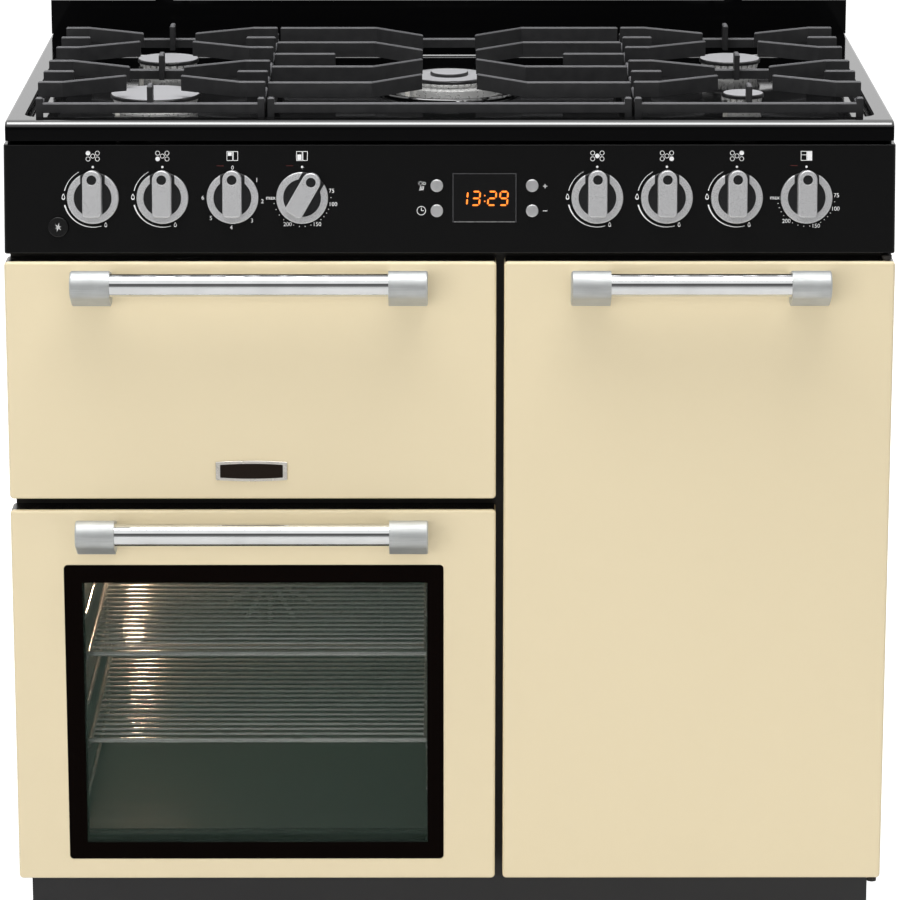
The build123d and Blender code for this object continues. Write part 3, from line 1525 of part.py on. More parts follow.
with BuildPart() as burner_pipes:
    for x, name in tap_knobs:
        tap_middle = fascia_plane(x, knob_z, -tap_outlet_setback).origin
        burner_x, burner_setback, cap_radius = burners[name]
        burner_y = front_y + burner_setback
        front_row = burner_setback == front_burner_setback
        if front_row:
            outlet = (x, tap_middle.Y, tap_middle.Z + outlet_rise)
            along = Vector(burner_x - x, burner_y - tap_middle.Y, 0)
            reach = along.length - cup_radius - moving_gap
            bend = (x, tap_middle.Y, knob_z + high_pipe_rise)
            stop = Vector(*bend) + along.normalized() * reach
            pipe_points = [outlet, bend, tuple(stop)]
        else:
            outlet = (x, tap_middle.Y, tap_middle.Z - outlet_rise)
            low_pipe_z = knob_z - low_pipe_drop
            cup_low_z = recess_z - cup_depth - moving_gap
            pipe_points = [
                outlet,
                (x, tap_middle.Y, low_pipe_z),
                (burner_x, burner_y, low_pipe_z),
                (burner_x, burner_y, cup_low_z),
            ]
        tube_along(pipe_points, pipe_bend_radius, pipe_radius)
write_piece(burner_pipes, "burner_pipes")

# Mains supply
with BuildPart() as terminal_block:
    box_back_y = back_y - sheet
    box_x = (terminal_x - terminal_box_width / 2, terminal_x + terminal_box_width / 2)
    box_z = (terminal_z - terminal_box_height / 2, terminal_z + terminal_box_height / 2)
    block((box_x[0], box_back_y - terminal_box_depth, box_z[0]), (box_x[1], box_back_y, box_z[1]))
    rod((terminal_x, box_back_y, terminal_z), (0, 1, 0), sheet + gland_length, gland_radius)
    gland_end = (terminal_x, back_y + gland_length, terminal_z)
    rod(gland_end, (0, -1, 0), cable_hole_depth, cable_hole_radius, Mode.SUBTRACT)
write_piece(terminal_block, "terminal_block")
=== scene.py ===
import math

import bmesh
import bpy
from mathutils import Matrix, Vector


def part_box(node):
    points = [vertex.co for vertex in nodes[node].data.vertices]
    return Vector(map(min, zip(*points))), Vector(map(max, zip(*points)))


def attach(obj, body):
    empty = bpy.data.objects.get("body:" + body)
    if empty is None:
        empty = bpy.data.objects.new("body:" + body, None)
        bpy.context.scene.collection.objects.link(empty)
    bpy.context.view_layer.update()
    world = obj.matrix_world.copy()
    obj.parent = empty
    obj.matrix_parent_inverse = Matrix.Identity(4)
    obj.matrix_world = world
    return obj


# Dress of a dual fuel range cooker: finishes for its pieces, printed marks, clock, badge,
# lamp and small fittings, on a pale floor under soft studio light.
# Lengths are in metres. +Z is up, -Y is the front and +X is the right.

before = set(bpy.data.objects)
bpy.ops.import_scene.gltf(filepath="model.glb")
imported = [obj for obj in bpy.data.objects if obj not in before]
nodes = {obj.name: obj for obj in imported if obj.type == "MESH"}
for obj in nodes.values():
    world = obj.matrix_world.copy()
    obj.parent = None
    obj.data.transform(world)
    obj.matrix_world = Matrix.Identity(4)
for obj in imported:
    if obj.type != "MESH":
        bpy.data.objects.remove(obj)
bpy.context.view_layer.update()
scene = bpy.context.scene

MM = 0.001
CREAM = (0.832, 0.712, 0.476)
SATIN_SILVER = (0.68, 0.68, 0.69)
SHEET_BLACK = (0.018, 0.018, 0.019)
LINER_GREEN = (0.030, 0.038, 0.034)
CERAMIC_WHITE = (0.82, 0.80, 0.74)
FOOT_BLACK = (0.02, 0.02, 0.02)
# Scale and detail of the faint patches in enamel
PATCHES = (2.4, 0.0)
# Heights of the relief that stands for enamel's orange peel and for metal's grain
PEEL_HEIGHT = 0.4 * MM
GRAIN_HEIGHT = 0.1 * MM


# Helpers for finishes
class Nodes:
    """Short ways to add and join the nodes of a tree."""

    def __init__(self, tree):
        self.tree = tree

    def node(self, kind, **settings):
        made = self.tree.nodes.new(kind)
        for key, value in settings.items():
            setattr(made, key, value)
        return made

    def feed(self, node, inputs):
        """Join outputs to a node's inputs, and set the inputs that are given as numbers."""
        for key, value in inputs.items():
            if isinstance(value, bpy.types.NodeSocket):
                self.tree.links.new(value, node.inputs[key])
            else:
                node.inputs[key].default_value = value
        return node

    def math(self, operation, first, second=0.0):
        made = self.node("ShaderNodeMath", operation=operation)
        return self.feed(made, {0: first, 1: second}).outputs[0]

    def below(self, value, limit):
        return self.math("LESS_THAN", value, limit)

    def above(self, value, limit):
        return self.math("GREATER_THAN", value, limit)

    def all_of(self, *masks):
        result = masks[0]
        for mask in masks[1:]:
            result = self.math("MULTIPLY", result, mask)
        return result

    def any_of(self, *masks):
        result = masks[0]
        for mask in masks[1:]:
            result = self.math("MAXIMUM", result, mask)
        return result

    def spread(self, value, low, high, from_low=0.3, from_high=0.7):
        """Noise, or another value, carried to a range."""
        made = self.node("ShaderNodeMapRange")
        source = {"Value": value, "From Min": from_low, "From Max": from_high}
        return self.feed(made, {**source, "To Min": low, "To Max": high}).outputs[0]

    def choose(self, mask, outside, inside):
        """One number outside a mask and another inside it."""
        return self.spread(mask, outside, inside, 0.0, 1.0)

    def blend(self, factor, first, second):
        """Mix of two colours."""
        made = self.node("ShaderNodeMix", data_type="RGBA")
        colors = {
            key: color if isinstance(color, bpy.types.NodeSocket) else (*color, 1.0)
            for key, color in ((6, first), (7, second))
        }
        return self.feed(made, {0: factor, **colors}).outputs[2]


class Finish(Nodes):
    """A material with short ways to its shader."""

    def __init__(self, name, color, metallic=0.0, roughness=0.5, specular=0.5):
        self.material = bpy.data.materials.new(name)
        self.material.use_nodes = True
        super().__init__(self.material.node_tree)
        self.shader = self.tree.nodes["Principled BSDF"]
        self.place = self.node("ShaderNodeTexCoord").outputs["Object"]
        self.set("Base Color", (*color, 1.0))
        self.set("Metallic", metallic)
        self.set("Roughness", roughness)
        self.set("Specular IOR Level", specular)

    def set(self, socket, value):
        self.shader.inputs[socket].default_value = value

    def join(self, output, socket):
        self.tree.links.new(output, self.shader.inputs[socket])

    def noise(self, scale, detail=2.0, stretch=(1, 1, 1)):
        place = self.feed(self.node("ShaderNodeMapping"), {"Vector": self.place, "Scale": stretch})
        made = self.node("ShaderNodeTexNoise")
        self.feed(made, {"Vector": place.outputs[0], "Scale": scale, "Detail": detail})
        return made.outputs["Fac"]

    def mottle(self, scale, detail, first, second):
        """Two colours in soft patches."""
        return self.blend(self.spread(self.noise(scale, detail), 0.0, 1.0), first, second)

    def spangle(self, first, second):
        """Two colours in the flat crystals of a zinc coat."""
        made = self.node("ShaderNodeTexVoronoi")
        cells = self.feed(made, {"Vector": self.place, "Scale": 55.0}).outputs["Color"]
        return self.blend(self.choose(cells, 0.0, 1.0), first, second)

    def bump(self, height, strength, distance, edge=0.0):
        """Fine relief, over edges that look rounded where an edge radius is given."""
        made = self.node("ShaderNodeBump")
        self.feed(made, {"Height": height, "Strength": strength, "Distance": distance})
        if edge:
            rounded = self.feed(self.node("ShaderNodeBevel", samples=6), {"Radius": edge})
            self.feed(made, {"Normal": rounded.outputs[0]})
        self.join(made.outputs[0], "Normal")

    def vary_color(self, first, second, scale, detail=2.0):
        self.join(self.mottle(scale, detail, first, second), "Base Color")

    def vary_roughness(self, low, high, scale, stretch=(1, 1, 1)):
        self.join(self.spread(self.noise(scale, 3.0, stretch), low, high), "Roughness")

    def axis(self, direction, origin=(0, 0, 0)):
        """Distance of the shaded point from an origin, along a direction."""
        shifted = self.node("ShaderNodeVectorMath", operation="SUBTRACT")
        self.feed(shifted, {0: self.place, 1: origin})
        along = self.node("ShaderNodeVectorMath", operation="DOT_PRODUCT")
        self.feed(along, {0: shifted.outputs[0], 1: direction})
        return along.outputs["Value"]

    def normal_part(self, index):
        """X, Y or Z of the surface's normal."""
        facing = self.node("ShaderNodeNewGeometry").outputs["Normal"]
        return self.feed(self.node("ShaderNodeSeparateXYZ"), {0: facing}).outputs[index]

    def inside(self, radius, first, second):
        """Mask of the points nearer to an axis than a radius."""
        squares = [self.math("MULTIPLY", value, value) for value in (first, second)]
        return self.below(self.math("ADD", *squares), radius**2)


def tinted(color, factor):
    return tuple(channel * factor for channel in color)


def enamel(name, color, roughness, specular, peel=0.03):
    """Fired enamel: a faint orange peel and a slightly uneven gloss."""
    finish = Finish(name, color, roughness=roughness, specular=specular)
    finish.vary_color(tinted(color, 0.988), tinted(color, 1.010), *PATCHES)
    gloss = finish.choose(finish.noise(9.0, 0.0), roughness * 0.95, roughness * 1.05)
    finish.join(gloss, "Roughness")
    finish.bump(finish.noise(420.0, 1.0), peel, PEEL_HEIGHT)
    return finish


def metal(name, color, roughness, grain=(1, 1, 1), scale=300.0, depth=0.05):
    """Bare or plated metal with a fine grain."""
    finish = Finish(name, color, metallic=1.0, roughness=roughness)
    finish.vary_color(tinted(color, 0.93), tinted(color, 1.05), 40.0)
    finish.vary_roughness(roughness * 0.8, roughness * 1.25, scale, grain)
    finish.bump(finish.noise(scale, 3.0, grain), depth, GRAIN_HEIGHT)
    return finish


def plastic(name, color, roughness, specular=0.4):
    """Moulded plastic with a fine spark-eroded texture."""
    finish = Finish(name, color, roughness=roughness, specular=specular)
    finish.vary_color(tinted(color, 0.9), tinted(color, 1.1), 60.0)
    finish.vary_roughness(roughness * 0.85, min(1.0, roughness * 1.15), 200.0)
    finish.bump(finish.noise(1800.0, 2.0), 0.08, GRAIN_HEIGHT / 2)
    return finish


def dress(finish, *names):
    """Give CAD nodes a finish."""
    for name in names:
        slots = nodes[name].data.materials
        slots.clear()
        slots.append(finish.material)


# Finishes of the casing and doors

# The back panel's faces lie behind this Y and look backwards by more than this share
BACK_FROM_Y = 0.30
BACK_FACING_SHARE = 0.5
# Height of a foot's plastic pad, with its steel stem above
FOOT_HEIGHT = 8.2 * MM


def panel_finish():
    """Black side panels and a bare zinc-plated back."""
    finish = enamel("panel_enamel", SHEET_BLACK, 0.42, 0.4, 0.10)
    back = finish.all_of(
        finish.above(finish.normal_part(1), BACK_FACING_SHARE),
        finish.above(finish.axis((0, 1, 0)), BACK_FROM_Y),
    )
    zinc = finish.spangle((0.40, 0.41, 0.42), (0.50, 0.51, 0.52))
    finish.join(finish.blend(back, SHEET_BLACK, zinc), "Base Color")
    finish.join(finish.choose(back, 0.0, 0.85), "Metallic")
    return finish


def dress_casing():
    dress(enamel("casing_enamel", SHEET_BLACK, 0.42, 0.4, 0.10), "plinth")
    dress(panel_finish(), "outer_panels")
    dress(enamel("frame_enamel", (0.02, 0.018, 0.016), 0.4, 0.3, 0.06), "front_frame")
    zinc = metal("zinc_sheet", (0.52, 0.53, 0.54), 0.38, scale=90.0)
    zinc.join(zinc.spangle((0.42, 0.43, 0.44), (0.58, 0.59, 0.60)), "Base Color")
    dress(zinc, "base_tray")
    feet = plastic("foot_plastic", FOOT_BLACK, 0.55)
    stem = feet.above(feet.axis((0, 0, 1)), FOOT_HEIGHT)
    feet.join(stem, "Metallic")
    feet.join(feet.blend(stem, FOOT_BLACK, (0.5, 0.5, 0.5)), "Base Color")
    dress(feet, "levelling_feet")
    dress(plastic("seal_rubber", (0.018, 0.018, 0.018), 0.75, 0.2), "door_seals")


# Painted shade on the doors' tops: its depth below the top, and its start behind the front face
PAINTED_SHADE_DEPTH = 1.2 * MM
PAINTED_SHADE_START = 5.0 * MM


def cream_finish(panel):
    """Cream enamel, with painted shade in near black on top of the door behind its front edge."""
    low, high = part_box(panel)
    cream = enamel(f"{panel}_cream", CREAM, 0.26, 0.40, 0.02)
    cream.set("Coat Weight", 0.12)
    cream.set("Coat Roughness", 0.12)
    shade = cream.mottle(*PATCHES, tinted(CREAM, 0.988), tinted(CREAM, 1.010))
    # Painted shade: the door's top face behind its front edge is painted near black, where it lies in
    # shade
    painted_shade = cream.all_of(
        cream.above(cream.axis((0, 0, 1)), high.z - PAINTED_SHADE_DEPTH),
        cream.above(cream.axis((0, 1, 0)), low.y + PAINTED_SHADE_START),
    )
    cream.join(cream.blend(painted_shade, shade, (0.004, 0.004, 0.004)), "Base Color")
    return cream


# Corners of the window's clear middle, as X and Z
VIEW_LOW = (-0.377, 0.143)
VIEW_HIGH = (-0.023, 0.424)


def glass_finish():
    """Tinted oven glass, black outside its clear middle."""
    glass = Finish("oven_glass", (0.060, 0.098, 0.075), roughness=0.02, specular=0.25)
    across = glass.axis((1, 0, 0))
    rise = glass.axis((0, 0, 1))
    clear = glass.all_of(
        glass.above(across, VIEW_LOW[0]),
        glass.below(across, VIEW_HIGH[0]),
        glass.above(rise, VIEW_LOW[1]),
        glass.below(rise, VIEW_HIGH[1]),
    )
    tint = glass.blend(glass.noise(5.0, 1.0), (0.056, 0.092, 0.070), (0.064, 0.104, 0.080))
    glass.join(glass.blend(clear, (0.0022, 0.0010, 0.0006), tint), "Base Color")
    glass.join(glass.choose(clear, 1.0, 0.13), "Alpha")
    glass.join(glass.choose(clear, 0.02, 0.20), "Specular IOR Level")
    glass.vary_roughness(0.015, 0.035, 6.0)
    return glass


def dress_doors():
    for panel in ("grill_door_panel", "oven_door_panel", "tall_door_panel"):
        dress(cream_finish(panel), panel)
    inner = enamel("inner_door_enamel", (0.03, 0.032, 0.036), 0.25, 0.45, 0.05)
    dress(inner, "grill_door_inner", "oven_door_inner", "tall_door_inner")
    chrome = metal("handle_chrome", (0.76, 0.77, 0.775), 0.055, (0.2, 60, 60), 20.0, 0.01)
    dress(chrome, "grill_handle_bar", "oven_handle_bar", "tall_handle_bar")
    satin = metal("bracket_metal", (0.60, 0.615, 0.612), 0.60, (0.3, 12, 12), 120.0, 0.04)
    dress(satin, "grill_handle_brackets", "oven_handle_brackets", "tall_handle_brackets")
    dress(glass_finish(), "oven_door_glass")


# Finishes of the cavities, the hob and the lid
def dress_cavities():
    liner = enamel("liner_enamel", LINER_GREEN, 0.34, 0.45, 0.08)
    specks = liner.above(liner.noise(900.0, 1.0), 0.68)
    liner.join(liner.blend(specks, LINER_GREEN, (0.30, 0.31, 0.32)), "Base Color")
    dress(liner, "main_oven_liner", "tall_oven_liner", "grill_liner", "fan_covers")
    wire = metal("plated_wire", (0.74, 0.73, 0.71), 0.14, scale=150.0, depth=0.02)
    wire.set("Metallic", 0.7)
    dress(wire, "side_racks", "wire_shelves")
    dress(enamel("pan_enamel", (0.010, 0.010, 0.011), 0.2, 0.4, 0.06), "grill_pan")
    dress(metal("element_sheath", (0.16, 0.145, 0.135), 0.45, scale=200.0), "heating_elements")
    dress(metal("fan_metal", (0.24, 0.24, 0.24), 0.45), "main_oven_fan", "tall_oven_fan")
    dress(metal("motor_metal", (0.46, 0.46, 0.47), 0.4), "fan_motors")


ELECTRODE_TIP = 3.0 * MM
IRON_EDGE = 1.0 * MM
IRON_RELIEF = 0.25 * MM


def electrode_finish():
    """White ceramic with a metal tip."""
    ceramic = Finish("electrode_ceramic", CERAMIC_WHITE, roughness=0.25)
    tip_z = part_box("ignition_electrodes")[1].z - ELECTRODE_TIP
    tip = ceramic.above(ceramic.axis((0, 0, 1)), tip_z)
    ceramic.join(tip, "Metallic")
    ceramic.join(ceramic.blend(tip, CERAMIC_WHITE, (0.4, 0.39, 0.38)), "Base Color")
    ceramic.bump(ceramic.noise(600.0), 0.05, GRAIN_HEIGHT)
    return ceramic


def iron_finish():
    """Cast iron with a painted highlight: its upward faces are painted grey."""
    iron = enamel("support_iron", (0.016, 0.016, 0.017), 0.46, 0.25, 0.0)
    # Painted highlight: faces that look upwards are painted light grey, as if lit from above
    painted_highlight = iron.spread(iron.normal_part(2), 0.0, 1.0, 0.5, 0.95)
    shade = iron.mottle(90.0, 2.0, (0.017, 0.017, 0.018), (0.024, 0.024, 0.025))
    iron.join(iron.blend(painted_highlight, shade, (0.20, 0.20, 0.21)), "Base Color")
    iron.vary_roughness(0.40, 0.52, 160.0)
    iron.bump(iron.noise(650.0, 4.0), 0.18, IRON_RELIEF, IRON_EDGE)
    return iron


def dress_hob():
    hob = enamel("hob_enamel", (0.0022, 0.0022, 0.0024), 0.06, 0.5, 0.01)
    hob.set("IOR", 1.9)
    level = hob.spread(hob.normal_part(2), 0.02, 1.0, 0.25, 0.85)
    hob.join(level, "Specular IOR Level")
    dress(hob, "hob_top", "rear_upstand")
    cast = metal("burner_aluminium", (0.86, 0.86, 0.85), 0.30, scale=260.0, depth=0.01)
    cast.set("Metallic", 0.6)
    dress(cast, "burner_bodies")
    cap = enamel("burner_cap_enamel", (0.05, 0.05, 0.052), 0.32, 0.5, 0.12)
    # Painted reflection: the caps' flat tops are painted light grey and their other faces near black
    top = cap.above(cap.normal_part(2), 0.97)
    cap.join(cap.blend(top, (0.012, 0.012, 0.013), (0.56, 0.56, 0.58)), "Base Color")
    dress(cap, "burner_caps")
    dress(electrode_finish(), "ignition_electrodes")
    dress(iron_finish(), "left_pan_support", "centre_pan_support", "right_pan_support")


def dress_lid():
    glass = Finish("lid_glass", (0.0035, 0.0038, 0.0038), roughness=0.03, specular=0.5)
    glass.vary_roughness(0.02, 0.05, 4.0)
    dress(glass, "lid_glass")
    dress(metal("hinge_steel", (0.72, 0.72, 0.73), 0.14), "lid_hinges")


def dress_controls():
    dress(enamel("fascia_enamel", (0.0030, 0.0030, 0.0031), 0.16, 0.30, 0.02), "control_fascia")
    dress(plastic("window_black", (0.002, 0.002, 0.0022), 0.06, 0.5), "timer_window")
    housing = plastic("housing_plastic", (0.05, 0.05, 0.055), 0.5)
    dress(housing, "control_housings", "terminal_block")
    dress(metal("tap_brass", (0.68, 0.50, 0.22), 0.3), "gas_taps")
    dress(metal("pipe_metal", (0.62, 0.62, 0.62), 0.34), "gas_rail", "burner_pipes")
    button = metal("button_metal", (0.88, 0.88, 0.89), 0.38, scale=500.0, depth=0.04)
    dress(button, *(f"timer_{key}_button" for key in ("mode", "clock", "plus", "minus")))
    dress(plastic("spark_button_plastic", (0.006, 0.006, 0.006), 0.2), "spark_button")


# The fascia's sloped face
FASCIA_LOW_Z = 0.767
FASCIA_TOP_Z = 0.876
FASCIA_LEAN = 0.016
FASCIA_LOW_Y = -0.26975
KNOB_Z = 0.823
fascia_tilt = math.atan2(FASCIA_LEAN, FASCIA_TOP_Z - FASCIA_LOW_Z)
fascia_up = Vector((0, math.sin(fascia_tilt), math.cos(fascia_tilt)))
fascia_out = Vector((0, -math.cos(fascia_tilt), math.sin(fascia_tilt)))
fascia_right = Vector((1, 0, 0))


def fascia_place(x, z, lift=0.0):
    """Point of the fascia's face at a height, raised by a lift."""
    y = FASCIA_LOW_Y + (z - FASCIA_LOW_Z) * math.tan(fascia_tilt)
    return Vector((x, y, z)) + fascia_out * lift


# Knobs, each with its X
KNOBS = {
    "rear_left_burner": -0.359,
    "front_left_burner": -0.289,
    "grill": -0.2185,
    "main_oven": -0.1485,
    "wok_burner": 0.1485,
    "front_right_burner": 0.2185,
    "rear_right_burner": 0.289,
    "tall_oven": 0.359,
}
KNOB_TURN = {"main_oven": math.radians(30)}
KNOB_EDGE = 0.7 * MM
KNOB_GRAIN_SCALE = 900.0
KNOB_GRAIN_STRETCH = (2, 8, 2)
# Black parts of a knob, measured from its centre and from the fascia's face
DISH_RADIUS = 19.05 * MM
DISH_LIFT = 4.0 * MM
NOTCH_HALF_WIDTH = 12.4 * MM
NOTCH_START = 13.0 * MM
NOTCH_LIFT = 6.0 * MM
DIMPLE_RISE = 18.55 * MM
DIMPLE_RADIUS = 5.0 * MM
DIMPLE_LOW = 12.0 * MM
DIMPLE_HIGH = 19.8 * MM


def knob_axes(name):
    """Centre of a knob and the right and up directions of its grip."""
    turn = Matrix.Rotation(-KNOB_TURN.get(name, 0.0), 3, fascia_out)
    return fascia_place(KNOBS[name], KNOB_Z), turn @ fascia_right, turn @ fascia_up


def knob_finish(name):
    """Satin grip and ring with a black dish, notch and dimple."""
    centre, right, up = knob_axes(name)
    finish = metal(f"knob_{name}_metal", SATIN_SILVER, 0.30, KNOB_GRAIN_STRETCH, KNOB_GRAIN_SCALE, 0.02)
    across = finish.axis(right, centre)
    along = finish.axis(up, centre)
    lift = finish.axis(fascia_out, centre)
    dish = finish.all_of(finish.inside(DISH_RADIUS, across, along), finish.below(lift, DISH_LIFT))
    notch = finish.all_of(
        finish.below(finish.math("ABSOLUTE", across), NOTCH_HALF_WIDTH),
        finish.above(along, NOTCH_START),
        finish.below(lift, NOTCH_LIFT),
    )
    dimple = finish.all_of(
        finish.inside(DIMPLE_RADIUS, across, finish.math("SUBTRACT", along, DIMPLE_RISE)),
        finish.above(lift, DIMPLE_LOW),
        finish.below(lift, DIMPLE_HIGH),
    )
    black = finish.any_of(dish, notch, dimple)
    grain = finish.noise(KNOB_GRAIN_SCALE, 3.0, KNOB_GRAIN_STRETCH)
    shade = finish.spread(grain, 0.0, 1.0)
    silver = finish.blend(shade, tinted(SATIN_SILVER, 0.96), tinted(SATIN_SILVER, 1.04))
    finish.join(finish.blend(black, silver, (0.008, 0.008, 0.009)), "Base Color")
    finish.join(finish.choose(black, 0.62, 0.0), "Metallic")
    finish.bump(grain, 0.02, GRAIN_HEIGHT, KNOB_EDGE)
    return finish


def dress_knobs():
    for name in KNOBS:
        dress(knob_finish(name), f"knob_{name}")


# Printed marks
PRINT_LIFT = 0.06 * MM
PRINT_DEPTH = 0.08 * MM


def new_piece(name, mesh, finish, body):
    """Finished mesh as a piece that rides on a body."""
    data = bpy.data.meshes.new(name)
    mesh.to_mesh(data)
    mesh.free()
    data.materials.append(finish.material)
    piece = bpy.data.objects.new(name, data)
    scene.collection.objects.link(piece)
    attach(piece, body)
    return piece


def letter_shapes(text, size):
    """Vertices and faces of a word, centred, as a flat mesh gives them."""
    curve = bpy.data.curves.new("word", "FONT")
    curve.body = text
    curve.size = size
    curve.align_x = "CENTER"
    curve.align_y = "CENTER"
    curve.resolution_u = 4
    holder = bpy.data.objects.new("word", curve)
    scene.collection.objects.link(holder)
    graph = bpy.context.evaluated_depsgraph_get()
    data = bpy.data.meshes.new_from_object(holder.evaluated_get(graph))
    points = [vertex.co.xy.copy() for vertex in data.vertices]
    faces = [tuple(polygon.vertices) for polygon in data.polygons]
    bpy.data.objects.remove(holder)
    bpy.data.curves.remove(curve)
    bpy.data.meshes.remove(data)
    return points, faces


# Flame outline: steps round it, half width as a share of its height, taper, and hollow middle
FLAME_STEPS = 24
FLAME_WIDTH_SHARE = 0.26
FLAME_TAPER_SHARE = 0.45
FLAME_HOLLOW_SHARE = 0.62


class Marks:
    """Thin printed marks along the fascia's slope, gathered into one piece."""

    def __init__(self, origin, lift=PRINT_LIFT):
        self.mesh = bmesh.new()
        self.origin = origin + fascia_out * lift

    def corner(self, u, v):
        return self.mesh.verts.new(self.origin + fascia_right * u + fascia_up * v)

    def polygon(self, points):
        self.mesh.faces.new([self.corner(u, v) for u, v in points])

    def box(self, u, v, width, height):
        w, h = width / 2, height / 2
        self.polygon([(u - w, v - h), (u + w, v - h), (u + w, v + h), (u - w, v + h)])

    def frame(self, u, v, width, height, line):
        w, h = width / 2, height / 2
        for side in (-1, 1):
            self.box(u, v + side * (h - line / 2), width, line)
            self.box(u + side * (w - line / 2), v, line, height - 2 * line)

    def disc(self, u, v, radius, sides=20):
        turns = [2 * math.pi * i / sides for i in range(sides)]
        self.polygon([(u + radius * math.cos(t), v + radius * math.sin(t)) for t in turns])

    def arc(self, u, v, radius, start, end, line, end_line=None, steps=36):
        """Stroke along an arc, in degrees clockwise from the top, that may taper."""
        end_line = line if end_line is None else end_line
        previous = None
        for i in range(steps + 1):
            share = i / steps
            t = math.radians(start + (end - start) * share)
            half = (line + (end_line - line) * share) / 2
            pair = [
                (u + (radius + side * half) * math.sin(t), v + (radius + side * half) * math.cos(t))
                for side in (-1, 1)
            ]
            if previous:
                self.polygon([previous[0], previous[1], pair[1], pair[0]])
            previous = pair

    def ring(self, u, v, radius, line, steps=24):
        self.arc(u, v, radius, 0, 360, line, steps=steps)

    def stroke(self, start, end, line):
        a, b = Vector(start), Vector(end)
        across = (b - a).normalized().orthogonal() * line / 2
        self.polygon([a - across, b - across, b + across, a + across])

    def word(self, text, u, v, size):
        points, faces = letter_shapes(text, size)
        corners = [self.corner(u + point.x, v + point.y) for point in points]
        for face in faces:
            self.mesh.faces.new([corners[i] for i in face])

    def flame(self, u, v, height):
        """Drop-shaped flame drawn as an outline."""
        outline = []
        for i in range(FLAME_STEPS):
            t = 2 * math.pi * i / FLAME_STEPS
            taper = 1 - FLAME_TAPER_SHARE * math.cos(t)
            across = FLAME_WIDTH_SHARE * height * math.sin(t) * taper
            outline.append(Vector((u + across, v + height / 2 * math.cos(t))))
        middle = Vector((u, v))
        for a, b in zip(outline, outline[1:] + outline[:1]):
            inner = [middle + (point - middle) * FLAME_HOLLOW_SHARE for point in (b, a)]
            self.polygon([a, b, *inner])

    def piece(self, name, finish, body, slot):
        bmesh.ops.recalc_face_normals(self.mesh, faces=self.mesh.faces)
        made = new_piece(name, self.mesh, finish, body)
        thick = made.modifiers.new("thickness", "SOLIDIFY")
        thick.thickness = PRINT_DEPTH
        thick.offset = 0


def on_dial(name, angle, radius):
    """Place on the fascia at an angle clockwise from a knob's top."""
    t = math.radians(angle)
    return KNOBS[name] + radius * math.sin(t), radius * math.cos(t)


# Burners' places in the icon, in steps across and up
BURNER_SPOTS = {
    "rear_left_burner": (-1, 1),
    "front_left_burner": (-1, -1),
    "wok_burner": (0, 0),
    "front_right_burner": (1, -1),
    "rear_right_burner": (1, 1),
}
# Icon, dot and dial, measured from a knob's centre
ICON_RISE = 42.0 * MM
DOT_RISE = 31.0 * MM
DOT_RADIUS = 1.2 * MM
DIAL_RADIUS = 29.5 * MM
NUMBER_SIZE = 5.8 * MM
SPOT_PITCH = (4.7 * MM, 2.9 * MM)
SPOT_RING = 2.1 * MM
SPOT_DISC = 2.2 * MM
SPOT_LINE = 0.5 * MM


def burner_icon(marks, name):
    """Five small rings, with this knob's burner filled."""
    for spot in BURNER_SPOTS.values():
        x = KNOBS[name] + spot[0] * SPOT_PITCH[0]
        y = ICON_RISE + spot[1] * SPOT_PITCH[1]
        marks.ring(x, y, SPOT_RING, SPOT_LINE, 20)
        if spot == BURNER_SPOTS[name]:
            marks.disc(x, y, SPOT_DISC)


# Oven icon: X and width of its two cells, and each knob's filled boxes as middle, width and height
CELL_HEIGHT = 9.6 * MM
CELL_LINE = 0.55 * MM
LEFT_CELL = (-2.7 * MM, 6.2 * MM)
RIGHT_CELL = (3.1 * MM, 5.0 * MM)
CELL_FILLS = {
    "grill": ((LEFT_CELL[0], 2.0 * MM, 4.0 * MM, 3.6 * MM),),
    "main_oven": ((LEFT_CELL[0], -1.2 * MM, 4.0 * MM, 5.4 * MM),),
    "tall_oven": (
        (RIGHT_CELL[0], 0.0, 4.2 * MM, 8.8 * MM),
        (LEFT_CELL[0], 1.0 * MM, 5.2 * MM, CELL_LINE),
    ),
}


def oven_icon(marks, name):
    """Cooker's front with this knob's cavity filled."""
    for x, width in (LEFT_CELL, RIGHT_CELL):
        marks.frame(KNOBS[name] + x, ICON_RISE, width, CELL_HEIGHT, CELL_LINE)
    for x, rise, width, height in CELL_FILLS[name]:
        marks.box(KNOBS[name] + x, ICON_RISE + rise, width, height)


# Arcs round a burner knob: first and last angle, first and last stroke, and steps
FLAME_ARCS = (
    (-28, -76, 0.35 * MM, 0.75 * MM, 20),
    (-104, -196, 1.5 * MM, 0.5 * MM, 36),
)
# Flames at their ends: angle, shift outwards and height
FLAMES = ((-88, 0.4 * MM, 6.2 * MM), (155, 0.3 * MM, 4.8 * MM))


def burner_scale(marks, name):
    """Arc from a large flame to a small one."""
    for arc in FLAME_ARCS:
        marks.arc(KNOBS[name], 0, DIAL_RADIUS, *arc)
    for angle, shift, height in FLAMES:
        marks.flame(*on_dial(name, angle, DIAL_RADIUS + shift), height)


# Words round the oven knobs, each with its angle clockwise from the top
THERMOSTATS = {
    "main_oven": (("75", 77), ("100", 102), ("150", 151), ("200", 209), ("max", 270)),
    "tall_oven": (("75", 86), ("100", 111), ("150", 161), ("200", 220), ("max", 270)),
}
# How far a word stands out beside the dial, by its number of letters
WORD_SHIFTS = {2: 1.0 * MM, 3: 2.2 * MM}
DOTS_BETWEEN = (1, 4, 4, 4)
# Angle between a word and the nearest of several dots
DOTS_MARGIN = 11.5
SCALE_DOT_INSET = 0.6 * MM
SCALE_DOT_RADIUS = 0.45 * MM


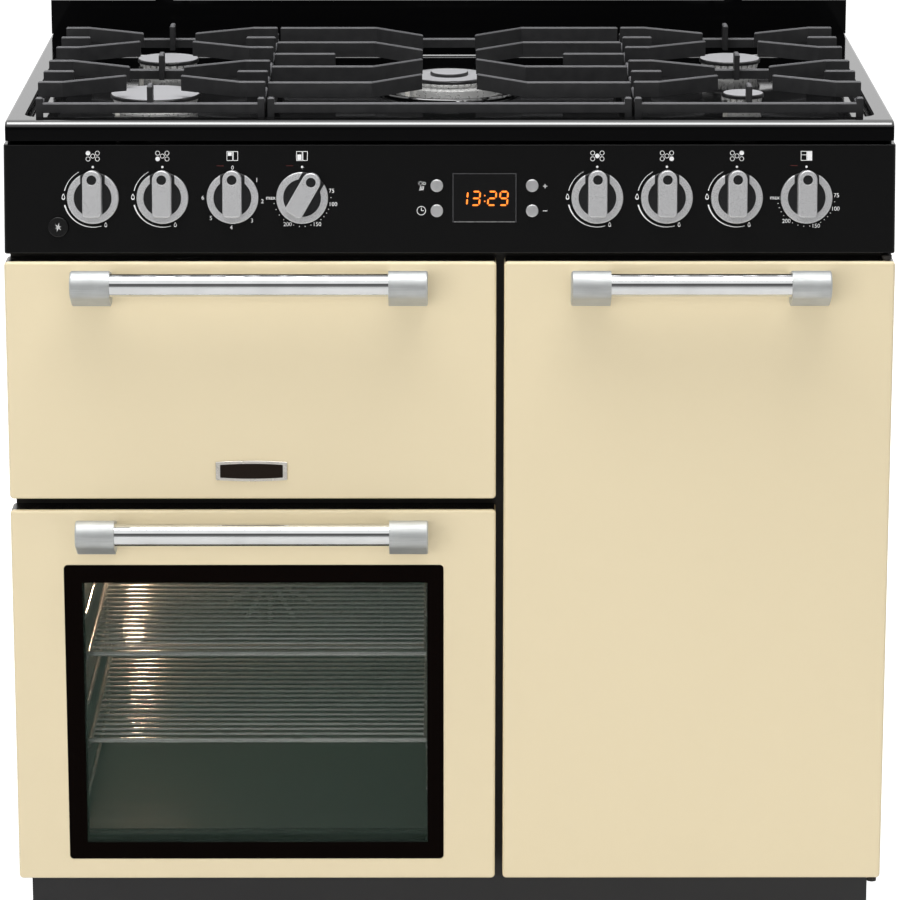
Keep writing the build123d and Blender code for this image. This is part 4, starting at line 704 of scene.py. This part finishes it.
def thermostat_scale(marks, name):
    """Temperatures with dots between them."""
    scale = THERMOSTATS[name]
    for text, angle in scale:
        shift = WORD_SHIFTS[len(text)] * abs(math.sin(math.radians(angle)))
        marks.word(text, *on_dial(name, angle, DIAL_RADIUS + shift), NUMBER_SIZE)
    for (_, low_angle), (_, high_angle), count in zip(scale, scale[1:], DOTS_BETWEEN):
        start, end = low_angle + DOTS_MARGIN, high_angle - DOTS_MARGIN
        for i in range(count):
            share = 0.5 if count == 1 else i / (count - 1)
            place = on_dial(name, start + (end - start) * share, DIAL_RADIUS - SCALE_DOT_INSET)
            marks.disc(*place, SCALE_DOT_RADIUS, 12)


GRILL_NUMBERS = ((0, 0), (1, 54), (2, 97), (3, 140), (4, 183), (5, 227), (6, 270))
GRILL_NUMBER_SHIFT = 0.6 * MM


def grill_scale(marks, name):
    """Numbers round the grill's knob."""
    for number, angle in GRILL_NUMBERS:
        place = on_dial(name, angle, DIAL_RADIUS + GRILL_NUMBER_SHIFT)
        marks.word(str(number), *place, NUMBER_SIZE)


# Timer's icons, measured from the fascia's middle at the knobs' height
ICON_LINE = 0.6 * MM
THIN_LINE = 0.4 * MM
CLOCK_PLACE = Vector((-28.6, -13.0)) * MM
CLOCK_RADIUS = 4.3 * MM
CLOCK_HANDS = (Vector((0, 3.2)) * MM, Vector((2.5, 0)) * MM)
HAND_PLACE = Vector((-28.6, 12.0)) * MM
SUN_SHIFT = Vector((-0.8, 2.4)) * MM
SUN_RAYS = 8
SUN_REACH = (1.3 * MM, 2.4 * MM)
DIAL_SHIFT = Vector((3.0, 2.4)) * MM
DIAL_ICON_RADIUS = 1.3 * MM
FINGER_PITCH = 1.5 * MM
FINGER_FOOT = Vector((0, -4.4)) * MM
FINGER_STROKE = Vector((1.0, 4.0)) * MM
FINGER_LINE = 0.7 * MM
PALM = (Vector((-2.2, -4.4)) * MM, Vector((2.4, -3.4)) * MM)
SIGN_X = 96.0 * MM
PLUS_RISE = 11.6 * MM
PLUS_SIZE = 4.2 * MM
MINUS_RISE = -13.2 * MM
MINUS_SIZE = 4.4 * MM


def timer_icons(marks):
    """Hand and clock beside the left buttons, plus and minus beside the right ones."""
    marks.ring(*CLOCK_PLACE, CLOCK_RADIUS, ICON_LINE)
    for hand in CLOCK_HANDS:
        marks.stroke(CLOCK_PLACE, CLOCK_PLACE + hand, ICON_LINE)
    for i in range(SUN_RAYS):
        t = 2 * math.pi * i / SUN_RAYS
        ray = Vector((math.cos(t), math.sin(t)))
        start, end = (HAND_PLACE + SUN_SHIFT + ray * reach for reach in SUN_REACH)
        marks.stroke(start, end, THIN_LINE)
    marks.ring(*(HAND_PLACE + DIAL_SHIFT), DIAL_ICON_RADIUS, THIN_LINE, 16)
    for step in (-1, 0, 1):
        foot = HAND_PLACE + FINGER_FOOT + Vector((step * FINGER_PITCH, 0))
        marks.stroke(foot, foot + FINGER_STROKE, FINGER_LINE)
    marks.stroke(HAND_PLACE + PALM[0], HAND_PLACE + PALM[1], ICON_LINE)
    marks.box(SIGN_X, PLUS_RISE, PLUS_SIZE, ICON_LINE)
    marks.box(SIGN_X, PLUS_RISE, ICON_LINE, PLUS_SIZE)
    marks.box(SIGN_X, MINUS_RISE, MINUS_SIZE, ICON_LINE)


# Red dash to the left of an oven knob's dot
DASH_SHIFT = 12.5 * MM
DASH_RISE = DOT_RISE + 1.2 * MM
DASH_LENGTH = 7.0 * MM
DASH_LINE = 0.5 * MM


def print_fascia():
    """White marks of the fascia and the red dashes over the oven knobs."""
    origin = fascia_place(0, KNOB_Z)
    marks = Marks(origin)
    dashes = Marks(origin)
    for name, x in KNOBS.items():
        if name in BURNER_SPOTS:
            burner_icon(marks, name)
            burner_scale(marks, name)
        else:
            oven_icon(marks, name)
            dashes.box(x - DASH_SHIFT, DASH_RISE, DASH_LENGTH, DASH_LINE)
        if name in THERMOSTATS:
            thermostat_scale(marks, name)
        if name == "grill":
            grill_scale(marks, name)
        else:
            marks.disc(x, DOT_RISE, DOT_RADIUS, 16)
    timer_icons(marks)
    white = Finish("print_white", (0.86, 0.86, 0.86), roughness=0.45, specular=0.3)
    white.vary_color((0.82, 0.82, 0.82), (0.90, 0.90, 0.90), 300.0)
    marks.piece("fascia_print", white, "cooker", "fascia_enamel")
    red = Finish("print_red", (0.10, 0.018, 0.015), roughness=0.5, specular=0.3)
    red.vary_color((0.085, 0.015, 0.012), (0.12, 0.021, 0.018), 300.0)
    dashes.piece("fascia_dashes", red, "cooker", "fascia_enamel")


# Clock

# Segments of the digits, and each one's place in half widths and half heights
SEGMENTS = {"1": "bc", "2": "abged", "3": "abgcd", "9": "abcdfg"}
SEGMENT_PLACES = {
    "a": (0, 1, "across"),
    "g": (0, 0, "across"),
    "d": (0, -1, "across"),
    "f": (-1, 0.5, "up"),
    "b": (1, 0.5, "up"),
    "e": (-1, -0.5, "up"),
    "c": (1, -0.5, "up"),
}
# Lit digits with the X of their middles, measured from the window's middle
DIGITS = (("1", -21.1 * MM), ("3", -8.6 * MM), ("2", 7.6 * MM), ("9", 19.4 * MM))
DIGIT_RISE = -0.6 * MM
DIGIT_WIDTH = 7.6 * MM
DIGIT_HEIGHT = 13.6 * MM
DIGIT_LINE = 1.7 * MM
DIGIT_SLANT = 0.08
SEGMENT_GAP_SHARE = 0.35
COLON_X = 0.2 * MM
COLON_RISES = (-3.6 * MM, 2.2 * MM)
COLON_SIZE = 1.3 * MM


def add_digit(marks, digit, u):
    """Seven-segment digit that leans a little."""
    for key in SEGMENTS[digit]:
        across, rise, way = SEGMENT_PLACES[key]
        x, y = across * DIGIT_WIDTH / 2, rise * DIGIT_HEIGHT / 2
        length = DIGIT_WIDTH if way == "across" else DIGIT_HEIGHT / 2
        half = length / 2 - DIGIT_LINE * SEGMENT_GAP_SHARE
        w = DIGIT_LINE / 2
        ends = (-half, -half + w, half - w, half, half - w, -half + w)
        sides = (0, w, w, 0, -w, -w)
        points = []
        for a, b in zip(ends, sides):
            px, py = (x + a, y + b) if way == "across" else (x + b, y + a)
            points.append((u + px + DIGIT_SLANT * py, DIGIT_RISE + py))
        marks.polygon(points)


# Window's marks: lift of its glass, lift of what is lit, insets from its edges and lines
GLASS_LIFT = 0.8 * MM
LIT_LIFT = 0.1 * MM
FRAME_INSET = (1.2 * MM, 1.6 * MM)
FRAME_LINE = 0.45 * MM
BEZEL_INSET = 4.0 * MM
BEZEL_RISE = 1.0 * MM
BEZEL_LINE = 0.9 * MM


def make_clock():
    """Frame lines of the clock's window and its lit digits."""
    window_low, window_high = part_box("timer_window")
    width = window_high.x - window_low.x
    height = (window_high.z - window_low.z) / math.cos(fascia_tilt)
    origin = fascia_place((window_low.x + window_high.x) / 2, KNOB_Z, GLASS_LIFT)
    lines = Marks(origin)
    lines.frame(0, 0, width - FRAME_INSET[0], height - FRAME_INSET[1], FRAME_LINE)
    grey = Finish("window_line_grey", (0.10, 0.10, 0.105), roughness=0.3)
    grey.vary_color((0.09, 0.09, 0.095), (0.12, 0.12, 0.125), 200.0)
    lines.piece("clock_frame", grey, "cooker", "window_black")
    bezel = Marks(origin, LIT_LIFT)
    bezel.box(0, -height / 2 + BEZEL_RISE, width - BEZEL_INSET, BEZEL_LINE)
    light = metal("window_bezel", (0.62, 0.62, 0.62), 0.3)
    bezel.piece("clock_bezel", light, "cooker", "window_black")
    digits = Marks(origin, LIT_LIFT)
    for digit, u in DIGITS:
        add_digit(digits, digit, u)
    for rise in COLON_RISES:
        digits.box(COLON_X, rise, COLON_SIZE, COLON_SIZE)
    lit = Finish("clock_orange", (0.9, 0.22, 0.03), roughness=0.5, specular=0.2)
    lit.set("Emission Color", (1.0, 0.20, 0.02, 1.0))
    lit.set("Emission Strength", 1.1)
    lit.vary_color((0.85, 0.20, 0.03), (0.95, 0.24, 0.03), 400.0)
    digits.piece("clock_digits", lit, "cooker", "window_black")


# Spark star: X, Z and lift of its place, and each ray's angle from the top and its reach
SPARK_PLACE = (-0.394, 0.794, 5.15 * MM)
SPARK_RAYS = (
    (12, 4.8 * MM),
    (78, 3.4 * MM),
    (135, 4.2 * MM),
    (196, 4.8 * MM),
    (246, 3.2 * MM),
    (312, 4.2 * MM),
)
RAY_HALF_WIDTH = 0.9 * MM


def make_spark_mark():
    """White star with uneven rays on the spark button."""
    star = Marks(fascia_place(*SPARK_PLACE))
    for angle, reach in SPARK_RAYS:
        t = math.radians(angle)
        tip = Vector((math.sin(t), math.cos(t))) * reach
        side = Vector((math.cos(t), -math.sin(t))) * RAY_HALF_WIDTH
        star.polygon([-side, side, tip])
    white = Finish("spark_white", (0.66, 0.66, 0.66), roughness=0.4)
    white.vary_color((0.6, 0.6, 0.6), (0.7, 0.7, 0.7), 300.0)
    star.piece("spark_star", white, "spark_button_body", "spark_button_plastic")


# Oven door window: the border lies behind the outer pane, and its opening a little to the left
PANE_BACK = 3.6 * MM
BORDER_SHIFT = -1.0 * MM
BORDER_MARGIN = 1.0 * MM
BORDER_THICKNESS = 0.15 * MM
WELD_DISTANCE = 0.01 * MM


def make_window_border():
    """Black border printed behind the oven's outer glass."""
    low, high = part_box("oven_door_glass")
    y = low.y + PANE_BACK
    clear_x = [x + BORDER_SHIFT for x in (VIEW_LOW[0], VIEW_HIGH[0])]
    xs = (low.x + BORDER_MARGIN, *clear_x, high.x - BORDER_MARGIN)
    zs = (low.z + BORDER_MARGIN, VIEW_LOW[1], VIEW_HIGH[1], high.z - BORDER_MARGIN)
    mesh = bmesh.new()
    for i, (left, right) in enumerate(zip(xs, xs[1:])):
        for j, (bottom, top) in enumerate(zip(zs, zs[1:])):
            if (i, j) == (1, 1):
                continue
            corners = ((left, y, bottom), (right, y, bottom), (right, y, top), (left, y, top))
            mesh.faces.new([mesh.verts.new(corner) for corner in corners])
    bmesh.ops.remove_doubles(mesh, verts=mesh.verts, dist=WELD_DISTANCE)
    finish = plastic("window_border_print", (0.004, 0.004, 0.004), 0.5)
    piece = new_piece("oven_window_border", mesh, finish, "oven_door")
    thick = piece.modifiers.new("thickness", "SOLIDIFY")
    thick.thickness = BORDER_THICKNESS


def rounded_bar(mesh, length, height, depth, bulge, steps=10):
    """Long plate with arched long edges, standing out from the XZ plane at Y zero."""
    outline = []
    for i in range(steps + 1):
        share = i / steps
        x = -length / 2 + length * share
        outline.append((x, height / 2 + bulge * (1 - (2 * share - 1) ** 2)))
    lower = [(x, -z) for x, z in reversed(outline)]
    corners = [mesh.verts.new((x, 0, z)) for x, z in outline + lower]
    face = mesh.faces.new(corners)
    raised = bmesh.ops.extrude_face_region(mesh, geom=[face])["geom"]
    moved = [v for v in raised if isinstance(v, bmesh.types.BMVert)]
    bmesh.ops.translate(mesh, verts=moved, vec=(0, -depth, 0))


# Badge: X and Z of its middle, and each part's length, height, depth and arch
BADGE_PLACE = (-0.202, 0.543)
BADGE_FRAME = (73.0 * MM, 19.0 * MM, 2.2 * MM, 1.4 * MM)
BADGE_PLATE = (64.0 * MM, 13.5 * MM, 2.9 * MM, 1.2 * MM)
BADGE_EDGE = 0.8 * MM
SHARP_ANGLE = math.radians(40)


def make_badge():
    """Plain badge on the grill door: a bright frame round a dark arched plate."""
    door_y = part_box("grill_door_panel")[0].y
    frame_finish = metal("badge_frame", (0.66, 0.63, 0.58), 0.30)
    plate_finish = enamel("badge_plate", (0.014, 0.009, 0.006), 0.30, 0.08)
    for name, sizes, finish in (
        ("badge_frame", BADGE_FRAME, frame_finish),
        ("badge_plate", BADGE_PLATE, plate_finish),
    ):
        mesh = bmesh.new()
        rounded_bar(mesh, *sizes)
        bmesh.ops.recalc_face_normals(mesh, faces=mesh.faces)
        place = (BADGE_PLACE[0], door_y, BADGE_PLACE[1])
        bmesh.ops.translate(mesh, verts=mesh.verts, vec=place)
        round_edges(new_piece(name, mesh, finish, "grill_door"), BADGE_EDGE)


def round_edges(piece, width):
    """Soften a piece's sharp edges."""
    bevel = piece.modifiers.new("edges", "BEVEL")
    bevel.width = width
    bevel.segments = 3
    bevel.limit_method = "ANGLE"
    bevel.angle_limit = SHARP_ANGLE


def turned(profile, sides=28):
    """Solid of revolution about Z from pairs of radius and height that start and end on the axis."""
    mesh = bmesh.new()
    rings = []
    for radius, height in profile:
        if radius == 0:
            rings.append([mesh.verts.new((0, 0, height))])
            continue
        turns = [2 * math.pi * i / sides for i in range(sides)]
        ring = [(radius * math.cos(t), radius * math.sin(t), height) for t in turns]
        rings.append([mesh.verts.new(point) for point in ring])
    for low, high in zip(rings, rings[1:]):
        for i in range(sides):
            j = (i + 1) % sides
            corners = [low[i % len(low)], low[j % len(low)], high[j % len(high)], high[i % len(high)]]
            unique = list(dict.fromkeys(corners))
            if len(unique) > 2:
                mesh.faces.new(unique)
    bmesh.ops.recalc_face_normals(mesh, faces=mesh.faces)
    return mesh


def aim(mesh, place, direction):
    """Turn a mesh's Z to a direction and carry it to a place."""
    turn = Vector(direction).to_track_quat("Z", "Y").to_matrix().to_4x4()
    bmesh.ops.transform(mesh, matrix=Matrix.Translation(place) @ turn, verts=mesh.verts)


def join_mesh(target, source):
    """Add one mesh to another."""
    data = bpy.data.meshes.new("part")
    source.to_mesh(data)
    target.from_mesh(data)
    bpy.data.meshes.remove(data)
    source.free()


def smooth(piece):
    for polygon in piece.data.polygons:
        polygon.use_smooth = True


# Lid buffers: X and Z of their middles, and half outline along their length
BUFFER_X = 0.4045
BUFFER_Z = 1.4548
BUFFER_LENGTH = 8.0 * MM
BUFFER_PROFILE = (
    (0, 0),
    (7.0 * MM, 0),
    (7.6 * MM, 1.0 * MM),
    (6.0 * MM, 6.5 * MM),
    (4.0 * MM, BUFFER_LENGTH),
    (0, BUFFER_LENGTH),
)


def make_lid_buffers():
    """Rubber buffers on the lid, which rest on the pan supports when it is shut."""
    face_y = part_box("lid_glass")[0].y
    mesh = bmesh.new()
    for x in (-BUFFER_X, BUFFER_X):
        buffer = turned(BUFFER_PROFILE)
        aim(buffer, (x, face_y, BUFFER_Z), (0, -1, 0))
        join_mesh(mesh, buffer)
    rubber = plastic("buffer_rubber", (0.02, 0.02, 0.02), 0.7, 0.25)
    smooth(new_piece("lid_buffers", mesh, rubber, "lid"))


SCREW_RADIUS = 4.0 * MM
SCREW_SIDES = 20
# Half outline of a pan-head screw with a round recess, as shares of its radius
SCREW_SHARES = (
    (0, 0),
    (1.0, 0),
    (1.0, 0.25),
    (0.8, 0.55),
    (0.42, 0.66),
    (0.40, 0.30),
    (0, 0.22),
)


def add_screw(mesh, place):
    """Screw head on the back panel."""
    profile = [(out * SCREW_RADIUS, rise * SCREW_RADIUS) for out, rise in SCREW_SHARES]
    head = turned(profile, SCREW_SIDES)
    aim(head, place, (0, 1, 0))
    join_mesh(mesh, head)


# Screws' distances from the panels' edges, screws across and rows up
SCREW_SIDE_MARGIN = 14.0 * MM
SCREW_LOW_MARGIN = 10.0 * MM
SCREW_TOP_MARGIN = 12.0 * MM
SCREWS_ACROSS = 6
SCREW_ROWS = 5


def make_panel_screws():
    """Screws round the edge of the back panel."""
    low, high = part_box("outer_panels")
    pitch = (high.x - low.x - 2 * SCREW_SIDE_MARGIN) / (SCREWS_ACROSS - 1)
    xs = [low.x + SCREW_SIDE_MARGIN + i * pitch for i in range(SCREWS_ACROSS)]
    mesh = bmesh.new()
    for x in xs:
        for z in (low.z + SCREW_LOW_MARGIN, high.z - SCREW_TOP_MARGIN):
            add_screw(mesh, (x, high.y, z))
    for i in range(1, SCREW_ROWS):
        z = low.z + i * (high.z - low.z) / SCREW_ROWS
        for x in (xs[0], xs[-1]):
            add_screw(mesh, (x, high.y, z))
    steel = metal("screw_steel", (0.55, 0.55, 0.56), 0.3)
    smooth(new_piece("panel_screws", mesh, steel, "cooker"))


# Oven lamp: its light's place, and its lens below the cavity's roof
LAMP_PLACE = Vector((-0.352, 0.10, 0.452))
LAMP_RADIUS = 10.0 * MM
LENS_SHIFT = 8.0 * MM
LENS_PROFILE = (
    (0, 0),
    (15.0 * MM, 0),
    (15.0 * MM, -4.0 * MM),
    (12.0 * MM, -10.0 * MM),
    (0, -13.0 * MM),
)
ROOF_DEPTH = 12.0 * MM


def make_oven_lamp():
    """Glass lens of the oven lamp in the cavity's roof, and its light."""
    mesh = turned(LENS_PROFILE)
    roof_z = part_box("main_oven_liner")[1].z - ROOF_DEPTH
    place = (LAMP_PLACE.x + LENS_SHIFT, LAMP_PLACE.y, roof_z)
    bmesh.ops.translate(mesh, verts=mesh.verts, vec=place)
    lens = Finish("lamp_glass", (0.9, 0.75, 0.5), roughness=0.25)
    lens.set("Emission Color", (1.0, 0.62, 0.28, 1.0))
    lens.set("Emission Strength", 6.0)
    lens.vary_color((0.85, 0.7, 0.45), (0.95, 0.8, 0.55), 200.0)
    smooth(new_piece("oven_lamp_lens", mesh, lens, "cooker"))
    light = bpy.data.lights.new("oven_lamp_light", "POINT")
    light.color = (1.0, 0.68, 0.46)
    light.energy = 2.0
    light.shadow_soft_size = LAMP_RADIUS
    holder = bpy.data.objects.new("oven_lamp_light", light)
    holder.location = LAMP_PLACE
    scene.collection.objects.link(holder)


# Stage

# Floor: half size, and the glow that makes it white to the camera
FLOOR_SIZE = 40.0
FLOOR_GLOW = 0.72


def make_floor():
    """Pale floor that is white to the camera but keeps the shadow."""
    mesh = bmesh.new()
    bmesh.ops.create_grid(mesh, x_segments=1, y_segments=1, size=FLOOR_SIZE)
    data = bpy.data.meshes.new("floor")
    mesh.to_mesh(data)
    mesh.free()
    floor = bpy.data.objects.new("floor", data)
    scene.collection.objects.link(floor)
    finish = Finish("floor_white", (0.86, 0.86, 0.86), roughness=0.9, specular=0.0)
    path = finish.node("ShaderNodeLightPath")
    seen = finish.any_of(path.outputs["Is Camera Ray"], path.outputs["Is Transmission Ray"])
    finish.set("Emission Color", (1.0, 1.0, 1.0, 1.0))
    finish.join(finish.math("MULTIPLY", seen, FLOOR_GLOW), "Emission Strength")
    data.materials.append(finish.material)


WORLD_LIGHT = 0.50
# Brightness of the studio wall by height, from straight below at 0 to straight above at 1
WALL_STOPS = ((0.44, 0.55), (0.50, 0.30), (0.56, 0.20), (0.64, 0.10), (0.72, 0.10), (0.78, 1.0))
# The wall comes in between these two shares of looking to the front
WALL_EDGE_SHARES = (-0.1, -0.4)


def make_world():
    """White surroundings, with a grey studio wall in front that only reflections show."""
    world = bpy.data.worlds.new("studio")
    scene.world = world
    world.use_nodes = True
    sky = Nodes(world.node_tree)
    sky.tree.nodes.clear()
    path = sky.node("ShaderNodeLightPath").outputs
    direction = sky.node("ShaderNodeTexCoord").outputs["Generated"]
    parts = sky.feed(sky.node("ShaderNodeSeparateXYZ"), {0: direction}).outputs
    ramp = sky.node("ShaderNodeValToRGB")
    elements = ramp.color_ramp.elements
    while len(elements) < len(WALL_STOPS):
        elements.new(0.5)
    for element, (place, value) in zip(elements, WALL_STOPS):
        element.position = place
        element.color = (value, value, value, 1)
    sky.feed(ramp, {0: sky.spread(parts[2], 0.0, 1.0, -1.0, 1.0)})
    ahead = sky.spread(parts[1], 0.0, 1.0, *WALL_EDGE_SHARES)
    front = sky.math("MULTIPLY", ahead, path["Is Glossy Ray"])
    wall = sky.blend(front, (1, 1, 1), ramp.outputs[0])
    light = sky.feed(sky.node("ShaderNodeBackground"), {"Color": (1, 1, 1, 1), "Strength": WORLD_LIGHT})
    shown = sky.feed(sky.node("ShaderNodeBackground"), {"Color": wall, "Strength": 1.0})
    seen = sky.any_of(path["Is Camera Ray"], path["Is Glossy Ray"], path["Is Transmission Ray"])
    mix = sky.node("ShaderNodeMixShader")
    sky.feed(mix, {0: seen, 1: light.outputs[0], 2: shown.outputs[0]})
    sky.feed(sky.node("ShaderNodeOutputWorld"), {0: mix.outputs[0]})


# Soft lamps: place, target, width, height, power, and whether reflections show them
SOFTBOXES = {
    "softbox_above": ((-0.2, -0.7, 3.1), (0, -0.1, 0.7), 2.6, 1.2, 54.0, True),
    "softbox_front": ((-1.8, -4.6, 1.5), (0, 0, 0.5), 3.0, 2.2, 56.0, False),
    "softbox_back": ((1.5, 3.2, 3.2), (0, 0, 0.8), 3.0, 2.0, 34.0, False),
}


def make_lights():
    """Soft rectangular lamps, each aimed at a point."""
    for name, (place, target, width, height, power, in_reflections) in SOFTBOXES.items():
        light = bpy.data.lights.new(name, "AREA")
        light.shape = "RECTANGLE"
        light.size = width
        light.size_y = height
        light.energy = power
        holder = bpy.data.objects.new(name, light)
        holder.location = place
        holder.rotation_euler = (Vector(target) - Vector(place)).to_track_quat("-Z", "Y").to_euler()
        holder.visible_glossy = in_reflections
        scene.collection.objects.link(holder)


# Camera: place, tilt and turn in degrees, and focal length in the photo's pixels
CAMERA_X = -0.0084
CAMERA_DISTANCE = 4.35
CAMERA_HEIGHT = 1.682
CAMERA_PITCH = 14.405
CAMERA_YAW = 0.114
CAMERA_FOCAL_PIXELS = 4412.0
PHOTO_PIXELS = 900
SENSOR_WIDTH = 36.0
CLIP_END = 200.0


def make_camera():
    data = bpy.data.cameras.new("camera")
    data.sensor_width = SENSOR_WIDTH
    data.lens = CAMERA_FOCAL_PIXELS / PHOTO_PIXELS * SENSOR_WIDTH
    data.clip_end = CLIP_END
    camera = bpy.data.objects.new("camera", data)
    door_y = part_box("grill_door_panel")[0].y
    camera.location = (CAMERA_X, door_y - CAMERA_DISTANCE, CAMERA_HEIGHT)
    camera.rotation_euler = (math.radians(90 - CAMERA_PITCH), 0, math.radians(-CAMERA_YAW))
    scene.collection.objects.link(camera)
    scene.camera = camera


dress_casing()
dress_doors()
dress_cavities()
dress_hob()
dress_lid()
dress_controls()
dress_knobs()
print_fascia()
make_clock()
make_spark_mark()
make_window_border()
make_badge()
make_lid_buffers()
make_panel_screws()
make_oven_lamp()
make_floor()
make_world()
make_lights()
make_camera()
scene.view_settings.view_transform = "Standard"

bpy.context.view_layer.update()
